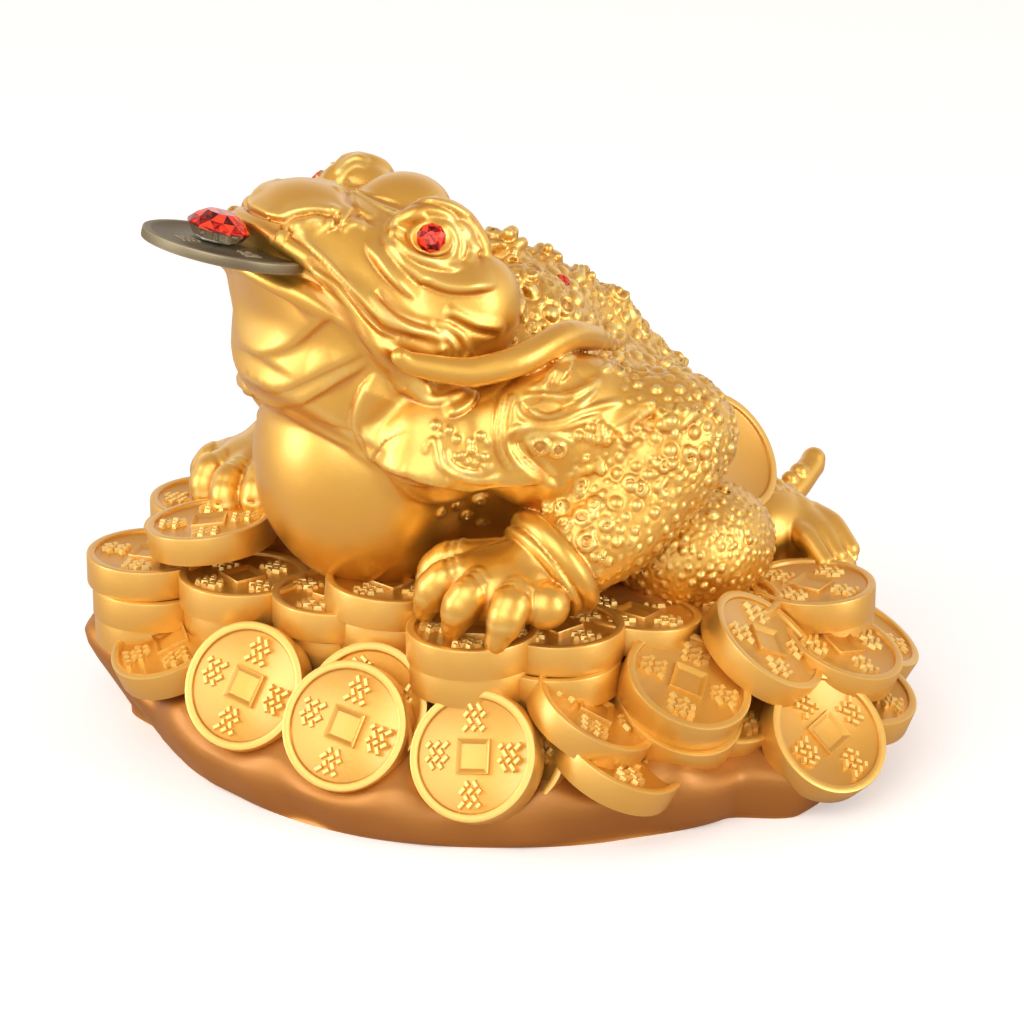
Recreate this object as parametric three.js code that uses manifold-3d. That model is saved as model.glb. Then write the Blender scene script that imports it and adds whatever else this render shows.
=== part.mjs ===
// A three-legged money toad with a coin in its mouth, crouching on a heap of coins on a rock-like base.
// Millimetres, +Z up. The toad looks along -Y and its left side is +X. The origin is on the table,
// under the middle of the figure's outline.

import * as THREE from 'three';
import { mergeVertices } from 'three/addons/utils/BufferGeometryUtils.js';
import Module from 'manifold-3d';

const wasm = await Module();
wasm.setup();

// Gap between pieces that touch.
const clearance = 0.3;

// Base: a rock slab with an undercut skirt. Its rim is given as angle, and as shares of the base's radius and
// of the rim's height. Its foot is set in further where the rim is higher above the lowest one.
const baseRadius = 66;
const rimHeight = 10;
const rimOutline = [
  [-150, 1.015, 1.4], [-125, 1, 1.2], [-104, 0.909, 0.9], [-82, 0.864, 0.75], [-58, 0.848, 0.65],
  [-34, 0.841, 0.6], [-12, 0.856, 0.55], [8, 0.924, 0.6], [25, 1.045, 0.65], [60, 1.038, 0.8],
  [95, 1, 0.9], [132, 0.985, 1], [170, 1, 1.2],
];
const lowestRim = 0.4;
const undercut = 8.5;
const shoulderRise = 3;
const baseSides = 28;

// Cast coins of the heap.
const coinRadius = 10.7;
const coinThickness = 4.4;
const coinRim = 1.5;
const coinRecess = 0.8;
const coinSides = 12;
const holeFrameWidth = 5.6;
const holeFrameWall = 1.0;

// Toad: its proportions are hundredths of its length, and it sits at the seat height.
const toadLength = 100;
const seatHeight = 30;

// Heap: the mound that the coins lean on reaches a little way into the toad's belly. The coins' places are
// shares of the base's radius and of the seat height.
const moundBite = 0.6;
const moundHeight = seatHeight + moundBite;

// Bangle on each foreleg.
const bangleRadius = 9.2;
const bangleWidth = 3.4;

// Loose coin in the mouth, and the slot it is pushed into.
const mouthCoinRadius = 13.5;
const mouthCoinThickness = 1.8;
const mouthCoinHole = 5;
const mouthCoinPitch = 15;

// Stones.
const eyeJewelRadius = 2.4;
const eyeJewelDepth = 1.6;
const backJewelRadius = 1.3;
const backJewelDepth = 1.0;
const mouthJewelRadius = 5.4;
const mouthJewelDepth = 3.2;
const mouthJewelNarrowing = 0.72;
const glueRadius = 3.2;
const glueHeight = 1.2;

// How far in front of the mouth coin's middle its stone is glued.
const jewelAhead = 2.1;

const share = toadLength / 100;
const upward = new THREE.Vector3(0, 0, 1);

// Finishes.
const finishes = {
  gold: new THREE.MeshStandardMaterial({ color: 0xdba437, roughness: 0.32, metalness: 0.9 }),
  pewter: new THREE.MeshStandardMaterial({ color: 0x6d6350, roughness: 0.42, metalness: 0.85 }),
  ruby: new THREE.MeshStandardMaterial({ color: 0xb0121a, roughness: 0.06, metalness: 0.1 }),
  glue: new THREE.MeshStandardMaterial({ color: 0xcfc8b8, roughness: 0.2, metalness: 0.0 }),
};

// Solids.

function solidOf(geometry) {
  const bare = geometry.clone();
  bare.deleteAttribute('normal');
  bare.deleteAttribute('uv');
  const merged = mergeVertices(bare, 1e-4);
  return new wasm.Manifold(new wasm.Mesh({
    numProp: 3,
    vertProperties: new Float32Array(merged.attributes.position.array),
    triVerts: new Uint32Array(merged.index.array),
  }));
}

function geometryOf(solid) {
  const mesh = solid.getMesh();
  const geometry = new THREE.BufferGeometry();
  geometry.setAttribute('position', new THREE.BufferAttribute(new Float32Array(mesh.vertProperties), 3));
  geometry.setIndex(new THREE.BufferAttribute(new Uint32Array(mesh.triVerts), 1));
  geometry.computeVertexNormals();
  return geometry;
}

function joined(geometries) {
  return geometries.map(solidOf).reduce((whole, next) => whole.add(next));
}

// A point of the toad, from hundredths of its length.
function spot(x, y, z) {
  return new THREE.Vector3(x * share, y * share, seatHeight + z * share);
}

// Stands a shape made along +Z at a place, facing along a direction and spun about it.
function stood(geometry, place, facing, spin = 0) {
  const turn = new THREE.Quaternion().setFromUnitVectors(upward, facing.clone().normalize());
  turn.multiply(new THREE.Quaternion().setFromAxisAngle(upward, THREE.MathUtils.degToRad(spin)));
  return geometry.applyMatrix4(new THREE.Matrix4().compose(place, turn, new THREE.Vector3(1, 1, 1)));
}

function lathed(profile, sides) {
  const points = profile.map(([radius, height]) => new THREE.Vector2(radius, height));
  return new THREE.LatheGeometry(points, sides).rotateX(Math.PI / 2);
}

// A ball squeezed to three radii, in the toad's hundredths, pitched about X in degrees.
function lump([x, y, z], [wide, deep, high], pitch = 0, sides = 12, rings = 8) {
  const ball = new THREE.SphereGeometry(1, sides, rings).rotateX(Math.PI / 2);
  ball.scale(wide * share, deep * share, high * share);
  ball.rotateX(THREE.MathUtils.degToRad(pitch));
  const at = spot(x, y, z);
  return ball.translate(at.x, at.y, at.z);
}

// A closed round bar along a curve through points of the toad, with its radius given at equal steps.
function bar(points, radii, steps = 10, sides = 6) {
  const curve = new THREE.CatmullRomCurve3(points.map((p) => spot(...p)), false, 'centripetal');
  const frames = curve.computeFrenetFrames(steps, false);
  const cylinder = new THREE.CylinderGeometry(1, 1, 1, sides, steps);
  const position = cylinder.attributes.position;
  for (let i = 0; i < position.count; i += 1) {
    const along = position.getY(i) + 0.5;
    const step = Math.round(along * steps);
    const place = curve.getPointAt(step / steps);
    const slot = along * (radii.length - 1);
    const before = Math.min(Math.floor(slot), radii.length - 2);
    const radius = THREE.MathUtils.lerp(radii[before], radii[before + 1], slot - before) * share;
    place.addScaledVector(frames.normals[step], position.getX(i) * radius);
    place.addScaledVector(frames.binormals[step], -position.getZ(i) * radius);
    position.setXYZ(i, place.x, place.y, place.z);
  }
  return facingOut(cylinder);
}

// Turns the faces round when a bent shape came out inside out.
function facingOut(geometry) {
  if (solidOf(geometry).volume() > 0) return geometry;
  const index = geometry.index.array;
  for (let i = 0; i < index.length; i += 3) {
    const kept = index[i];
    index[i] = index[i + 1];
    index[i + 1] = kept;
  }
  return geometry;
}

function mirrored(points, side) {
  return points.map(([x, y, z]) => [side * x, y, z]);
}

// Both sides of the toad: a maker is called with +1 for its left and -1 for its right.
function bothSides(maker) {
  return [1, -1].flatMap((side) => maker(side));
}

// Blended masses.

// Roughly the distance from a point to a squeezed ball.
function distanceTo(mass, point) {
  const angle = THREE.MathUtils.degToRad(mass.pitch);
  const dx = point.x - mass.at[0];
  const dy = point.y - mass.at[1];
  const dz = point.z - mass.at[2];
  const y = dy * Math.cos(angle) + dz * Math.sin(angle);
  const z = -dy * Math.sin(angle) + dz * Math.cos(angle);
  const [wide, deep, high] = mass.size;
  const near = Math.hypot(dx / wide, y / deep, z / high);
  const slope = Math.hypot(dx / wide ** 2, y / deep ** 2, z / high ** 2);
  return (near * (near - 1)) / slope;
}

function blendedDistance(masses, point) {
  let whole = distanceTo(masses[0], point);
  for (const mass of masses.slice(1)) {
    const next = distanceTo(mass, point);
    const overlap = Math.max(mass.blend - Math.abs(whole - next), 0) / mass.blend;
    whole = Math.min(whole, next) - overlap * overlap * mass.blend * 0.25;
  }
  return whole;
}

// A ball whose points are pushed out to the skin of the blended masses, in the toad's hundredths.
function skinned(centre, reach, masses, sides, rings) {
  const ball = new THREE.SphereGeometry(1, sides, rings).rotateX(Math.PI / 2);
  const position = ball.attributes.position;
  const middle = new THREE.Vector3(...centre);
  const ray = new THREE.Vector3();
  const probe = new THREE.Vector3();
  for (let i = 0; i < position.count; i += 1) {
    ray.fromBufferAttribute(position, i).normalize();
    let inside = 0;
    let outside = reach;
    for (let halving = 0; halving < 18; halving += 1) {
      const half = (inside + outside) / 2;
      probe.copy(middle).addScaledVector(ray, half);
      if (blendedDistance(masses, probe) < 0) inside = half;
      else outside = half;
    }
    probe.copy(middle).addScaledVector(ray, inside);
    const at = spot(probe.x, probe.y, probe.z);
    position.setXYZ(i, at.x, at.y, at.z);
  }
  return ball;
}

function mass(at, size, pitch = 0, blend = 5) {
  return { at, size, pitch, blend };
}

// Toad.

// The breast, the upper arm with its shoulder and elbow, and the haunch on one side of the trunk.
function limbMasses(side) {
  return [
    mass([side * 22, -24, 31], [9, 10, 10], 0, 3),
    mass([side * 28.5, -5, 31], [10, 18, 13], -8, 3),
    mass([side * 34, 9.5, 28], [11, 13, 12], 0, 3),
    mass([side * 27, 22, 9], [11.5, 15, 14], 0, 3),
  ];
}

function trunk() {
  const masses = [
    mass([0, -4, 24.5], [25, 24, 22.5], -10),
    mass([0, 14, 18], [27, 28, 20], -24, 6),
    mass([0, -24, 22], [20, 19.5, 22], 0, 4),
    mass([0, 34, 8], [19, 17, 13], -20, 8),
    mass([0, 4, 42], [15, 14, 9.5], -32, 5),
    ...bothSides(limbMasses),
  ];
  return [skinned([0, 0, 22], 70, masses, 30, 18)];
}

function head() {
  const masses = [
    mass([0, -26, 47], [23.5, 22.5, 12.5], -32),
    mass([0, -26, 40], [21, 20.5, 13], -5, 5),
    mass([0, -24, 55], [19, 18, 12], -20, 6),
    mass([0, -37, 61.5], [12.5, 10.5, 9.5], -15, 5),
    mass([0, -18.5, 64], [8, 9.5, 7], 0, 3),
    mass([13, -20.5, 61.5], [6.5, 9, 7.5], 0, 3),
    mass([-13, -20.5, 61.5], [6.5, 9, 7.5], 0, 3),
  ];
  return [skinned([0, -24, 50], 50, masses, 24, 16)];
}

// The lips are one ridge from each corner of the mouth round the snout.
function lips() {
  const upper = [[24, -27, 42], [21.5, -33.5, 48.5], [17.5, -39, 56.5], [10, -44.5, 64], [0, -46.5, 67]];
  const lower = [[24, -27.5, 39.5], [21.5, -34, 45.5], [17, -39.5, 53.5], [9.5, -46, 58], [0, -48.5, 59.5]];
  return [upper, lower].map((half) => {
    const other = half.slice(0, -1).map(([x, y, z]) => [-x, y, z]).reverse();
    return bar([...half, ...other], [0.6, 1.5, 1.6, 1.5, 0.6], 12, 4);
  });
}

// Folds of loose skin hang round the throat.
function throatFolds() {
  const folds = [
    { width: 18.5, front: -44.6, side: -31, low: 41, high: 47, thick: 1.9 },
    { width: 17.5, front: -42.6, side: -30, low: 34, high: 41, thick: 2.1 },
  ];
  return folds.map(({ width, front, side, low, high, thick }) => {
    const points = [];
    for (let step = -3; step <= 3; step += 1) {
      const turn = (step / 3) * (Math.PI / 2);
      const forward = Math.cos(turn);
      points.push([width * Math.sin(turn), side + (front - side) * forward, high + (low - high) * forward]);
    }
    return bar(points, [0.6, thick, thick, thick, 0.6], 10, 4);
  });
}

// The brow over each eye, and the fold of the cheek under it.
function eyeRidges(side) {
  const brow = [
    [13, -29.5, 63], [14, -26, 66.3], [14.5, -20.5, 67.3], [15.5, -15, 64.3], [17.5, -11.5, 57.5],
  ];
  const cheek = [[13, -31, 59], [17.5, -28, 54.5], [20.5, -20.5, 51], [19.5, -11.5, 50]];
  return [
    bar(mirrored(brow, side), [0.6, 1.5, 1.6, 1.5, 0.6], 7, 4),
    bar(mirrored(cheek, side), [0.5, 1.6, 1.8, 0.6], 5, 4),
  ];
}

function nostrils(side) {
  return [lump([side * 6.5, -40, 67], [2.2, 2.6, 1.8], 0, 6, 4)];
}

function whiskers(side) {
  const points = [[24, -32.5, 46.5], [27.5, -23, 44.8], [29.5, -14.5, 45.5], [28, -5, 47.2], [25, 7, 42]];
  return [bar(mirrored(points, side), [1.2, 2.3, 2.5, 2.4, 2, 0.5], 8, 5)];
}

// The edge of the breast that laps over the belly on each side.
function breastEdge(side) {
  const points = [[13.5, -32, 39], [16, -35, 32], [19.5, -33, 26.5], [26, -25, 22.5]];
  return [bar(mirrored(points, side), [0.6, 1.8, 1.8, 0.6], 6, 4)];
}

// Curled flame ridges on each shoulder.
function shoulderCurls(side) {
  const curls = [
    [[27, -22, 37], [32, -19, 34], [34, -14, 28], [30, -17, 23.5]],
    [[31, -13, 37], [36.5, -6, 34.5], [39, 2, 35], [38, 9, 36]],
  ];
  return curls.map((points) => bar(mirrored(points, side), [0.8, 1.7, 1.7, 0.5], 5, 4));
}

// The right paw is set further forward than the left one.
function pawStep(side) {
  return side > 0 ? 0 : -8;
}

function forearm(side) {
  const points = [[36, 9, 24], [36, -1, 17.5], [35, -14 + pawStep(side), 10]];
  return [bar(mirrored(points, side), [11, 9.8, 7.2], 2, 10)];
}

// The band on the wrist, square to the forearm.
function bangle(side) {
  const step = pawStep(side);
  const along = spot(side * 35, -14 + step, 10).sub(spot(side * 36, -1, 17.5)).normalize();
  const half = bangleWidth / 2;
  const ring = lathed([[0, -half], [bangleRadius, -half], [bangleRadius, half], [0, half]], 12);
  return [stood(ring, spot(side * 35.3, -9.5 + 0.7 * step, 12.8), along)];
}

// Four clawed toes fan out from the front round to the outer side.
function paw(side) {
  const middle = -20.5 + pawStep(side);
  const shapes = [lump([side * 32, middle, 7.5], [9, 8.5, 5.5], 0, 8, 6)];
  const reach = 10.5;
  const toes = 4;
  for (let toe = 0; toe < toes; toe += 1) {
    const turn = THREE.MathUtils.degToRad(-108 + 34 * toe);
    const outX = Math.cos(turn);
    const outY = Math.sin(turn);
    const at = (distance, height) => [side * (31.5 + outX * distance), middle + outY * distance, height];
    shapes.push(bar([at(4, 8.5), at(reach * 0.85, 7.5), at(reach, 1.5)], [2.5, 2.7, 1.1], 2, 4));
  }
  return shapes;
}

function foreleg(side) {
  return [...forearm(side), ...bangle(side), ...paw(side)];
}

// The single hind leg: a smooth shank with a broad foot behind.
function hindLeg() {
  return [
    lump([15, 43, 2], [10, 11, 8], 0, 9, 6),
    bar([[14, 43, 0], [19, 49, 0], [24, 55, -6.5]], [6.5, 5.4, 2.8], 3, 6),
    lump([19.5, 49, 2.6], [3.8, 3.8, 3], 0, 6, 4),
  ];
}

// The stub of a tail.
function tail() {
  return [bar([[9, 46, 1], [8, 55, 1.2], [5, 62.5, 4.3]], [4, 2.4, 2.8], 4, 6)];
}

// A row of knobs runs down the back.
function backKnobs() {
  const shapes = [];
  const knobs = 5;
  for (let knob = 0; knob < knobs; knob += 1) {
    const along = knob / (knobs - 1);
    shapes.push(lump([0, 2 + 34 * along, 53 - 28 * along], [5, 4.2, 5 - along], 0, 6, 4));
  }
  return shapes;
}

// Rows of lumps on each flank of the back.
function backLumps(side) {
  const shapes = [];
  const lumps = 3;
  for (let index = 0; index < lumps; index += 1) {
    const along = index / (lumps - 1);
    shapes.push(lump([side * (10 + 2 * along), 1 + 26 * along, 48.5 - 19 * along], [3.6, 3.6, 3.4], 0, 5, 4));
  }
  return shapes;
}

// Coins cast behind the haunches, leaning on the back.
function rearCoins(side) {
  return [stood(coin(faces.dished), spot(side * 20, 33, 17), new THREE.Vector3(side * 0.75, 0.3, 0.6))];
}

// Coins.

// How much of a coin's face shows: nothing of it, its rim and dished face, or the framed square hole as well.
const faces = { hidden: 0, dished: 1, framed: 2 };

// A coin lying with its face up, its face's middle at the origin.
function coin(face = faces.framed, thickness = coinThickness) {
  const inner = coinRadius - coinRim;
  const side = [[0, -thickness], [coinRadius, -thickness], [coinRadius, 0]];
  if (face === faces.hidden) return lathed([...side, [0, 0]], coinSides);
  const disc = lathed([...side, [inner, 0], [inner, -coinRecess], [0, -coinRecess]], coinSides);
  if (face === faces.dished) return disc;
  const corner = Math.SQRT1_2;
  const outside = holeFrameWidth * corner;
  const inside = (holeFrameWidth - 2 * holeFrameWall) * corner;
  const foot = -coinRecess - 0.5;
  const frame = lathed([[inside, foot], [outside, foot], [outside, 0], [inside, 0], [inside, foot]], 4);
  frame.rotateZ(Math.PI / 4);
  return geometryOf(joined([disc, frame]));
}

// Where a coin lies: its angle round the heap, its distance out and the height of its face as shares, how far
// it leans from level, the way it leans, how it is spun, and how many coins are stacked.
function laid({ angle, out, height, lean = 0, toward = 0, spin = 0, stack = 1, face = faces.dished }) {
  const round = THREE.MathUtils.degToRad(angle);
  const tip = THREE.MathUtils.degToRad(lean);
  const way = THREE.MathUtils.degToRad(toward);
  const facing = new THREE.Vector3(Math.sin(tip) * Math.cos(way), Math.sin(tip) * Math.sin(way));
  facing.setZ(Math.cos(tip));
  const reach = out * baseRadius;
  const place = new THREE.Vector3(reach * Math.cos(round), reach * Math.sin(round), height * seatHeight);
  return stood(coin(face, coinThickness * stack), place, facing, spin);
}

// The coins that lean on the rim, and those that lie higher up, round the front and the left side.
const heapCoins = [
  { angle: -86.5, out: 0.795, height: 0.56, lean: 60, toward: -60, spin: -25, face: faces.framed },
  { angle: -61, out: 0.78, height: 0.5, lean: 61, toward: -55, spin: -15, face: faces.framed },
  { angle: -59.5, out: 0.705, height: 0.667, lean: 60, toward: -56, face: faces.hidden },
  { angle: -37, out: 0.758, height: 0.44, lean: 62, toward: -56, face: faces.framed },
  { angle: -32, out: 0.735, height: 0.467, lean: 60, toward: -57, face: faces.hidden },
  { angle: -110, out: 0.833, height: 0.633, lean: 25, toward: -92, spin: 35, face: faces.framed },
  { angle: -118, out: 0.727, height: 1.2, lean: 7, toward: -130, face: faces.framed },
  { angle: -107, out: 0.659, height: 0.95, stack: 3, face: faces.hidden },
  { angle: -121, out: 0.879, height: 1.033, stack: 4 },
  { angle: -141, out: 0.773, height: 1.133, stack: 3, face: faces.hidden },
  { angle: -147, out: 0.667, height: 1.267, stack: 3, face: faces.hidden },
  { angle: -85, out: 0.5, height: 1.033, stack: 3 },
  { angle: -68, out: 0.447, height: 1.1, lean: 4, toward: 73, stack: 2 },
  { angle: -38, out: 0.606, height: 1.05, stack: 2, face: faces.hidden },
  { angle: -17, out: 0.576, height: 1.033, stack: 3, face: faces.hidden },
  { angle: 5, out: 0.606, height: 1.033, lean: 7, toward: 87, face: faces.hidden },
  { angle: 25, out: 0.621, height: 1.067, stack: 2 },
  { angle: -13.5, out: 0.758, height: 0.733, lean: 30, toward: 40, face: faces.framed },
  { angle: -12.5, out: 0.818, height: 0.433, lean: 27, toward: 42, face: faces.hidden },
  { angle: 6, out: 0.735, height: 0.733, lean: 30, toward: 6, stack: 2, face: faces.framed },
  { angle: 14, out: 0.773, height: 0.5, lean: 30, toward: 5, face: faces.hidden },
  { angle: 20.5, out: 0.848, height: 0.833, lean: 34, toward: 31, face: faces.framed },
  { angle: 19.6, out: 0.985, height: 0.45, lean: 52, toward: 2, face: faces.framed },
  { angle: 36.5, out: 0.932, height: 0.7, lean: 22, toward: 34 },
  { angle: 36.5, out: 0.97, height: 0.433, lean: 22, toward: 27, face: faces.hidden },
  { angle: 45, out: 0.818, height: 0.933, stack: 2 },
];

// Round the back and the right side the coins repeat in two rings.
function backCoins() {
  const shapes = [];
  const outerCoins = 7;
  for (let index = 0; index < outerCoins; index += 1) {
    const angle = 62 + index * 22;
    const lifted = index % 2 === 0;
    shapes.push(laid({
      angle,
      out: lifted ? 0.864 : 0.909,
      height: lifted ? 0.633 : 0.567,
      lean: lifted ? 32 : 48,
      toward: angle + (lifted ? 12 : -10),
    }));
  }
  const innerCoins = 5;
  for (let index = 0; index < innerCoins; index += 1) {
    shapes.push(laid({
      angle: 78 + index * 31,
      out: 0.652,
      height: 0.93 + 0.067 * (index % 2),
      lean: 4,
      toward: 50 * index,
      stack: 2,
      face: faces.hidden,
    }));
  }
  return shapes;
}

// Base.

// The rim's shares of radius and height at an angle, eased between the points of its outline.
function rimAt(angle) {
  const count = rimOutline.length;
  const turn = THREE.MathUtils.euclideanModulo(angle - rimOutline[0][0], 360);
  const place = (index) => rimOutline[THREE.MathUtils.euclideanModulo(index, count)];
  const start = (index) => THREE.MathUtils.euclideanModulo(place(index)[0] - rimOutline[0][0], 360);
  let index = count - 1;
  while (start(index) > turn) index -= 1;
  const end = index === count - 1 ? 360 : start(index + 1);
  const eased = THREE.MathUtils.smoothstep(turn, start(index), end);
  const [, radius, height] = place(index);
  const [, nextRadius, nextHeight] = place(index + 1);
  return [THREE.MathUtils.lerp(radius, nextRadius, eased), THREE.MathUtils.lerp(height, nextHeight, eased)];
}

// A lathed slab whose rings are pushed out to the rim's outline.
function base() {
  const foot = 1;
  const rim = 2;
  const rings = [
    [0, 0], [1, foot], [1, rim], [0.86, 3], [0.5, 4], [0, 4],
  ];
  const slab = lathed(rings, baseSides);
  const position = slab.attributes.position;
  for (let i = 0; i < position.count; i += 1) {
    const x = position.getX(i);
    const y = position.getY(i);
    const ring = Math.round(position.getZ(i));
    const angle = THREE.MathUtils.radToDeg(Math.atan2(y, x));
    const [radiusShare, heightShare] = rimAt(angle);
    const height = heightShare * rimHeight;
    const heights = [0, 0, height, height + shoulderRise, moundHeight];
    const inset = ring === foot ? undercut * (heightShare - lowestRim) : 0;
    const reach = radiusShare * baseRadius - inset;
    position.setXYZ(i, x * reach, y * reach, heights[ring]);
  }
  return [slab];
}

// Pieces of their own.

const mouthPlace = spot(0, -50.7, 62.6);
const mouthFacing = new THREE.Vector3(0, Math.sin(THREE.MathUtils.degToRad(mouthCoinPitch)),
  Math.cos(THREE.MathUtils.degToRad(mouthCoinPitch)));

function mouthCoinShape() {
  const inner = mouthCoinRadius - 1.2;
  const half = mouthCoinThickness / 2;
  const dip = 0.25;
  const hole = mouthCoinHole * Math.SQRT1_2;
  const disc = lathed([
    [0, dip - half],
    [inner, dip - half],
    [inner, -half],
    [mouthCoinRadius, -half],
    [mouthCoinRadius, half],
    [inner, half],
    [inner, half - dip],
    [0, half - dip],
  ], 24);
  const punch = lathed([[0, -half * 2], [hole, -half * 2], [hole, half * 2], [0, half * 2]], 4);
  punch.rotateZ(Math.PI / 4);
  return stood(geometryOf(solidOf(disc).subtract(solidOf(punch))), mouthPlace, mouthFacing);
}

// What the mouth coin needs to slide in.
function mouthSlot() {
  const radius = mouthCoinRadius + clearance;
  const half = mouthCoinThickness / 2 + clearance;
  return stood(lathed([[0, -half], [radius, -half], [radius, half], [0, half]], 24), mouthPlace, mouthFacing);
}

// A brilliant-cut stone with a flat back, its girdle at the origin's level.
function brilliant(radius, depth, sides) {
  const girdle = depth * 0.25;
  return lathed([[0, -depth * 0.35], [radius * 0.86, -depth * 0.35], [radius, 0], [radius, girdle],
    [radius * 0.62, depth * 0.65], [0, depth * 0.65]], sides);
}

function stoneSeat(radius, depth) {
  const wide = radius + clearance;
  const floor = -depth * 0.35 - clearance;
  return lathed([[0, floor], [wide, floor], [wide, depth * 3], [0, depth * 3]], 12);
}

const backStone = { place: spot(8, 8.3, 48.7), facing: new THREE.Vector3(0.5, 0.3, 0.8) };

function eyeStone(side) {
  return { place: spot(side * 17.6, -23.2, 64), facing: new THREE.Vector3(side * 0.8, -0.52, 0.3) };
}

// A place over the mouth coin, at a height above its upper face.
function overMouthCoin(height) {
  const ahead = new THREE.Vector3(0, -jewelAhead, 0);
  const above = mouthCoinThickness / 2 + clearance + height;
  return mouthPlace.clone().add(ahead).addScaledVector(mouthFacing, above);
}

function mouthCoinJewel() {
  const stone = brilliant(mouthJewelRadius, mouthJewelDepth, 10);
  stone.scale(1, mouthJewelNarrowing, 1);
  return stood(stone, overMouthCoin(glueHeight + clearance + mouthJewelDepth * 0.35), mouthFacing);
}

function jewelGlue() {
  const bead = lathed([[0, 0], [glueRadius, 0], [glueRadius * 0.9, glueHeight], [0, glueHeight]], 12);
  return stood(bead, overMouthCoin(0), mouthFacing);
}

// The casting.

function castingShape() {
  const shapes = [
    ...base(),
    ...heapCoins.map(laid),
    ...backCoins(),
    ...trunk(),
    ...head(),
    ...lips(),
    ...throatFolds(),
    ...bothSides(eyeRidges),
    ...bothSides(nostrils),
    ...bothSides(whiskers),
    ...bothSides(foreleg),
    ...bothSides(shoulderCurls),
    ...bothSides(backLumps),
    ...bothSides(breastEdge),
    ...hindLeg(),
    ...tail(),
    ...backKnobs(),
    ...bothSides(rearCoins),
  ];
  let whole = joined(shapes);
  whole = whole.subtract(solidOf(mouthSlot()));
  for (const { place, facing } of [eyeStone(1), eyeStone(-1)]) {
    whole = whole.subtract(solidOf(stood(stoneSeat(eyeJewelRadius, eyeJewelDepth), place, facing)));
  }
  const seat = stoneSeat(backJewelRadius, backJewelDepth);
  whole = whole.subtract(solidOf(stood(seat, backStone.place, backStone.facing)));
  return geometryOf(whole);
}

function named(name, geometry, finish) {
  const mesh = new THREE.Mesh(geometry, finish);
  mesh.name = name;
  return mesh;
}

function stoneAt({ place, facing }, radius, depth) {
  return stood(brilliant(radius, depth, 10), place, facing);
}

const figure = new THREE.Group();
figure.add(
  named('casting', castingShape(), finishes.gold),
  named('mouth_coin', mouthCoinShape(), finishes.pewter),
  named('mouth_coin_jewel', mouthCoinJewel(), finishes.ruby),
  named('jewel_glue', jewelGlue(), finishes.glue),
  named('eye_jewel_left', stoneAt(eyeStone(1), eyeJewelRadius, eyeJewelDepth), finishes.ruby),
  named('eye_jewel_right', stoneAt(eyeStone(-1), eyeJewelRadius, eyeJewelDepth), finishes.ruby),
  named('back_jewel', stoneAt(backStone, backJewelRadius, backJewelDepth), finishes.ruby),
);

// The origin goes under the middle of the outline.
const outline = new THREE.Box3().setFromObject(figure);
const middle = outline.getCenter(new THREE.Vector3());
figure.position.set(-middle.x, -middle.y, 0);

export default figure;
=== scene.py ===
"""Dresses the money toad: a gold-lacquered toad on a heap of coins, with a loose coin in its mouth."""

import logging
import math
import random
from collections.abc import Sequence
from dataclasses import dataclass, field
from enum import Enum

import bmesh
import bpy
import numpy as np
from mathutils import Matrix, Vector


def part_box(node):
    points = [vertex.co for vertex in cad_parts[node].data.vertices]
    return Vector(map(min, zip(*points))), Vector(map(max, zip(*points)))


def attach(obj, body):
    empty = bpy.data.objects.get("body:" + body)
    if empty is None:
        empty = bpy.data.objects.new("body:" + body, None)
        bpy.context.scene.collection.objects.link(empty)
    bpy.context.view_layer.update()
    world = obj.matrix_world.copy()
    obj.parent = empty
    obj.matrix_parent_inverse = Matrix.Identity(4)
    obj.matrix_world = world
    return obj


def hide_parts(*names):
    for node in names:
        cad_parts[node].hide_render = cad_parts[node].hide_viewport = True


log = logging.getLogger("money_toad")
# One millimetre, in the scene's metres.
MM = 0.001
# The block of clay that the toad is worked from, in the toad's millimetres, and the spacing of its grid.
BLOCK_LOW = (-48, -58, -14)
BLOCK_HIGH = (48, 70, 76)
PITCH = 0.4
# The distance that empty clay holds.
EMPTY = 20.0
# How far before and behind the figure's middle its skin is looked for, and in what steps.
LOOK = 110
LOOK_STEP = 0.3
# How finely a curve is drawn between two of its points.
CURVE_STEPS = 5
# How far a cut end lies under the skin.
LIP_DEPTH = 0.3 * MM
# The most triangles that one slice of the toad may have.
SLICE_TRIANGLES = 190000

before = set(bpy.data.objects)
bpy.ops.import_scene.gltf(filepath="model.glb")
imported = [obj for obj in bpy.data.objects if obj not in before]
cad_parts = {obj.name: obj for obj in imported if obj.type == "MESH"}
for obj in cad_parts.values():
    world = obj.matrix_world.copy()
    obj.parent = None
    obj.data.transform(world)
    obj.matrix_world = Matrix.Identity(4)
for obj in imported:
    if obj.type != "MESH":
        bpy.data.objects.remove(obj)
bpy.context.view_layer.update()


# Clay.

Point = tuple[float, float, float]
Pixel = tuple[float, float]
Window = tuple[tuple[slice, slice, slice], np.ndarray, np.ndarray, np.ndarray]


class Mode(Enum):
    """How a shape meets the clay that is already there."""

    ADD = "add"
    CUT = "cut"


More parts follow.
